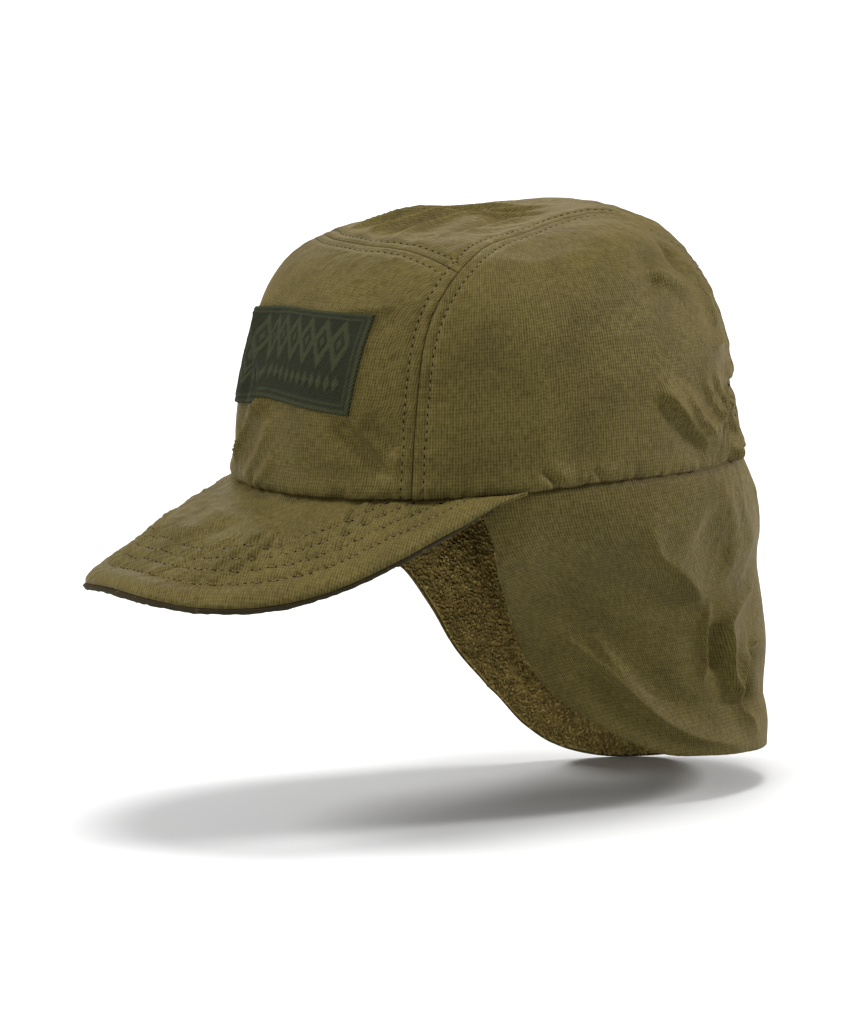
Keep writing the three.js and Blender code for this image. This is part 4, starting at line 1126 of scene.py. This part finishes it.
toned = add(pile, "GeometryNodeStoreNamedAttribute", {
    "Geometry": set_out.outputs[0], "Name": "tone", "Value": tone}, data_type="FLOAT", domain="INSTANCE")
real = add(pile, "GeometryNodeRealizeInstances", {"Geometry": toned.outputs[0]})
finished = add(pile, "GeometryNodeSetMaterial", {
    "Geometry": real.outputs[0], "Material": given["Material"]})
pile.links.new(finished.outputs[0], result.inputs[0])

# Polyester fleece: matt curled fibres, from dark brown-olive to yellow by their tone, which varies at
# random.
# The darkest tones are painted shade, given to the fleece under the peak.
# Specks of about 2.4 mm and patches of about 17 mm, as their number to a metre
SPECKS, PATCHES = 420.0, 60.0
material, tree, shader = new_material("polyester_pile_fleece", {
    "Roughness": 0.95, "Specular IOR Level": 0.15, "Sheen Weight": 0.06, "Sheen Roughness": 0.5,
    "Sheen Tint": linear("#c9a95a")})
tone = add(tree, "ShaderNodeAttribute", attribute_name="tone").outputs["Fac"]
place = add(tree, "ShaderNodeTexCoord").outputs["Object"]
specks = add(tree, "ShaderNodeTexNoise", {"Vector": place, "Scale": SPECKS, "Detail": 3.0}).outputs["Fac"]
patch = add(tree, "ShaderNodeTexNoise", {"Vector": place, "Scale": PATCHES, "Detail": 2.0}).outputs["Fac"]
shade = add(tree, "ShaderNodeMath", {0: tone, 1: specks}, operation="ADD").outputs[0]
shade = add(tree, "ShaderNodeMapRange", {"Value": shade, "From Min": 0.45, "From Max": 1.5}).outputs[0]
colour = blended(tree, shade, linear("#221d0f"), linear("#b09a5a"))
patch = add(tree, "ShaderNodeMapRange", {
    "Value": patch, "From Min": 0.3, "From Max": 0.7, "To Min": 0.82, "To Max": 1.15}).outputs[0]
colour = blended(tree, 1.0, colour, patch, "MULTIPLY")
bump = add(tree, "ShaderNodeBump", {"Height": specks, "Distance": 0.0006, "Strength": 0.8}).outputs[0]
tree.links.new(colour, shader.inputs["Base Color"])
tree.links.new(bump, shader.inputs["Normal"])
fleece = material

curls = {
    "Spacing": 0.00112, "Curl": 0.00045, "Thickness": 0.00054, "Darkest": 0.5, "Palest": 1.06,
    "Material": fleece}
flap_pile = []
columns = ground_back.shape[1]
for k, name in enumerate(("flap_pile_right", "flap_pile_back", "flap_pile_left")):
    first, last = columns * k // 3, columns * (k + 1) // 3
    grid = ground_back[2::2, first:last + 1:2]
    flap_pile.append(made_by(pile, pile_side(name + "_base", grid), name, {**curls, "Seed": 4 + k}))
# The curls under the peak get the lowest tones too: painted shade.
peak_pile = made_by(pile, pile_side("peak_pile_base", peak_bottom[5:, ::3]), "peak_pile", {
    **curls, "Curl": 0.0004, "Thickness": 0.00045, "Darkest": -0.3, "Palest": 0.12, "Seed": 9})
for piece in (flap_ground, peak_ground):
    piece.data.materials.append(fleece)
for piece in (flap_ground, peak_ground, peak_pile, *flap_pile):
    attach(piece, "root")
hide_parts("flap_fleece")
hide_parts("peak_fleece")

# Stitches
# Olive polyester thread in lock stitch, 3.2 mm long, in rows beside the crown's seams and along the
# peak's edge. Between the stitches a small near-black blob on the cloth is painted shade of the needle
# hole.
STITCH_LENGTH = 3.2
rows = bpy.data.node_groups.new("stitch_rows", "GeometryNodeTree")
given, result = inputs_and_outputs(rows, [
    ("Pitch", "NodeSocketFloat"), ("Thread width", "NodeSocketFloat"), ("Hole width", "NodeSocketFloat"),
    ("Thread", "NodeSocketMaterial"), ("Hole", "NodeSocketMaterial")])
path = add(rows, "GeometryNodeMeshToCurve", {"Mesh": given["Geometry"]})
even = add(rows, "GeometryNodeResampleCurve", {
    "Curve": path.outputs[0], "Length": given["Pitch"]}, mode="LENGTH")
tangent = add(rows, "GeometryNodeInputTangent").outputs[0]
outward = add(rows, "GeometryNodeInputNamedAttribute", {"Name": "out"}, data_type="FLOAT_VECTOR").outputs[0]
turn = add(rows, "FunctionNodeAlignRotationToVector", {"Vector": tangent}, axis="X").outputs[0]
turn = add(rows, "FunctionNodeAlignRotationToVector", {
    "Rotation": turn, "Vector": outward}, axis="Z", pivot_axis="X")
parts = []
# Length as a share of the pitch, height as a share of the width, and place as a share of the pitch
for item, length, height, shift in (("Thread", 0.5, 0.6, 0.5), ("Hole", 0.4, 0.7, 0.0)):
    ball = add(rows, "GeometryNodeMeshUVSphere", {"Segments": 6, "Rings": 4, "Radius": 0.5}).outputs[0]
    wide = given[item + " width"]
    tall = add(rows, "ShaderNodeMath", {0: wide, 1: height}, operation="MULTIPLY").outputs[0]
    long = add(rows, "ShaderNodeMath", {0: given["Pitch"], 1: length}, operation="MULTIPLY").outputs[0]
    scale = add(rows, "ShaderNodeCombineXYZ", {"X": long, "Y": wide, "Z": tall}).outputs[0]
    forward = add(rows, "ShaderNodeMath", {0: given["Pitch"], 1: shift}, operation="MULTIPLY").outputs[0]
    move = add(rows, "ShaderNodeCombineXYZ", {"X": forward}).outputs[0]
    shaped = add(rows, "GeometryNodeTransform", {"Geometry": ball, "Translation": move, "Scale": scale})
    each = add(rows, "GeometryNodeInstanceOnPoints", {
        "Points": even.outputs[0], "Instance": shaped.outputs[0], "Rotation": turn.outputs[0]})
    real = add(rows, "GeometryNodeRealizeInstances", {"Geometry": each.outputs[0]})
    parts.append(add(rows, "GeometryNodeSetMaterial", {
        "Geometry": real.outputs[0], "Material": given[item]}))
joined = rows.nodes.new("GeometryNodeJoinGeometry")
for part in parts:
    rows.links.new(part.outputs[0], joined.inputs[0])
rows.links.new(joined.outputs[0], result.inputs[0])

# Spun polyester thread: tonal with the cloth, slightly shiny along its twist.
# Turns of the twist and grains of a needle hole's shade to a metre
TWISTS, HOLE_GRAINS = 1800.0, 900.0
material, tree, shader = new_material("spun_polyester_thread", {"Roughness": 0.55})
place = add(tree, "ShaderNodeTexCoord").outputs["Object"]
twist = add(tree, "ShaderNodeTexNoise", {"Vector": place, "Scale": TWISTS, "Detail": 1.0}).outputs["Fac"]
tree.links.new(blended(tree, twist, linear("#3c3417"), linear("#675a31")), shader.inputs["Base Color"])
sewing_thread = material
# Painted shade of a needle hole: a near-black blob where the pit in the cloth would be in shadow.
material, tree, shader = new_material("needle_hole_shadow", {
    "Roughness": 1.0, "Specular IOR Level": 0.05})
place = add(tree, "ShaderNodeTexCoord").outputs["Object"]
depth_tone = add(tree, "ShaderNodeTexNoise", {"Vector": place, "Scale": HOLE_GRAINS}).outputs["Fac"]
tree.links.new(blended(tree, depth_tone, linear("#0c0a05"), linear("#1a160b")), shader.inputs["Base Color"])
needle_hole = material


def surface_of(pieces):
    """The faces of finished pieces in mm, ready to find the nearest place on them."""
    points, faces = [], []
    for piece in pieces:
        start = len(points)
        points += [v.co * 1000 for v in piece.data.vertices]
        faces += [[start + i for i in f.vertices] for f in piece.data.polygons]
    return BVHTree.FromPolygons(points, faces)


crown_surface = surface_of(crown.values())


def sewn_beside(guide, aside, start=0.0, end=1.0):
    """Places of a row of stitches on the crown beside a seam, with the cloth's outward direction."""
    share = np.linspace(start, end, max(8, int(line_length(guide) * (end - start) / 1.6)))
    dome = on_dome(along(guide, share))
    normal = dome_normal(dome)
    line = leaned(dome)
    sideways = unit(np.cross(normal, np.gradient(line, axis=0)))
    found = []
    for point, out in zip(line + sideways * aside, normal):
        place, face_normal, _, _ = crown_surface.find_nearest(Vector(point + 0.8 * out))
        if face_normal.dot(Vector(out)) > 0:
            found.append((np.array(place), out))
    return found


def peak_row(width):
    """Places of a row of stitches on the peak, at one distance from its free edge."""
    found = []
    for c in range(0, top.shape[1], 2):
        distances = peak_edge_distance[:, c]
        r = int(np.searchsorted(distances, width))
        if 0 < r < len(distances) - 1:
            share = (width - distances[r - 1]) / (distances[r] - distances[r - 1])
            point = top[r - 1, c] + (top[r, c] - top[r - 1, c]) * share
            found.append((point, peak_normal[r, c]))
    return found


sewn = [peak_row(width) for width in PEAK_ROWS]
# Each seam, and the share of its length that its rows leave out at both ends
seam_rows = [(seam_guide, 0.004), (mirrored(seam_guide), 0.004)]
seam_rows += [(seam, STITCH_ROW / line_length(seam)) for seam in (front_cross, back_cross)]
for seam, inset in seam_rows:
    for aside in (STITCH_ROW, -STITCH_ROW):
        sewn.append(sewn_beside(seam, aside, inset, 1 - inset))

points, edges, outs = [], [], []
for row in sewn:
    edges += [(len(points) + i, len(points) + i + 1) for i in range(len(row) - 1)]
    points += [place * 0.001 for place, _ in row]
    outs += [out for _, out in row]
mesh = bpy.data.meshes.new("stitch_paths")
mesh.from_pydata(points, edges, [])
mesh.attributes.new("out", "FLOAT_VECTOR", "POINT").data.foreach_set("vector", np.array(outs).ravel())
stitches = made_by(rows, new_object("stitch_paths", mesh), "stitches", {
    "Pitch": 0.001 * STITCH_LENGTH, "Thread width": 0.0005, "Hole width": 0.00062,
    "Thread": sewing_thread, "Hole": needle_hole})
stitches.data.polygons.foreach_set("use_smooth", np.ones(len(stitches.data.polygons), bool))
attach(stitches, "root")

# Studio
# A pale floor under the cap, a broad soft light from almost straight above, a low one from the back
# left that picks out the folds, one from the wearer's right front and two weak ones.
low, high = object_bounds()
bpy.ops.mesh.primitive_plane_add(size=60, location=(0, 0, low.z))
floor = bpy.context.object
floor.name = "floor"
material, _, _ = new_material("white_paper_floor", {
    "Base Color": linear("#d0d0d0"), "Roughness": 1.0, "Specular IOR Level": 0.0})
floor.data.materials.append(material)

ROOM_LIGHT = 0.42
world = bpy.data.worlds.new("studio")
bpy.context.scene.world = world
world.use_nodes = True
world.node_tree.nodes["Background"].inputs["Color"].default_value = linear("#ffffff")
world.node_tree.nodes["Background"].inputs["Strength"].default_value = ROOM_LIGHT
bpy.context.scene.view_settings.view_transform = "Standard"


def sun(name, azimuth, elevation, strength, spread):
    """A distant soft light from a direction round the cap, counted as the camera's is."""
    data = bpy.data.lights.new(name, "SUN")
    data.energy = strength
    data.angle = math.radians(spread)
    lamp = new_object(name, data)
    a, e = math.radians(azimuth), math.radians(elevation)
    source = Vector((math.sin(a) * math.cos(e), -math.cos(a) * math.cos(e), math.sin(e)))
    lamp.rotation_euler = source.to_track_quat("Z", "Y").to_euler()


# Name, direction round the cap and height in degrees, strength, and breadth in degrees
LIGHTS = [
    ("overhead", 70, 82, 2.7, 26), ("behind", 243, 32, 0.5, 25), ("front", 328, 44, 2.0, 18),
    ("low_back", 160, 24, 3.0, 14), ("low_front", 18, 22, 1.0, 20),
]
for light in LIGHTS:
    sun(*light)

# Camera
# From the wearer's front left and a little above, turned 1.7 degrees, with a long lens. Lengths are in
# metres, and the focal length in millimetres.
AZIMUTH, ELEVATION, ROLL = math.radians(61), math.radians(9.25), math.radians(1.7)
DISTANCE, FOCAL_LENGTH = 3, 323.4
AIM_RIGHT, AIM_UP = -0.02368, -0.01949
level = Vector((math.cos(AZIMUTH), math.sin(AZIMUTH), 0))
toward = Vector((
    math.sin(AZIMUTH) * math.cos(ELEVATION), -math.cos(AZIMUTH) * math.cos(ELEVATION), math.sin(ELEVATION)))
upright = toward.cross(level)
right = level * math.cos(ROLL) - upright * math.sin(ROLL)
upward = level * math.sin(ROLL) + upright * math.cos(ROLL)
lens = bpy.data.cameras.new("camera")
lens.sensor_width = 36
lens.sensor_fit = "HORIZONTAL"
lens.lens = FOCAL_LENGTH
camera = new_object("camera", lens)
bpy.context.scene.camera = camera
target = right * AIM_RIGHT + upward * AIM_UP
turned = Matrix((right, upward, toward)).transposed()
camera.matrix_world = Matrix.Translation(target + toward * DISTANCE) @ turned.to_4x4()
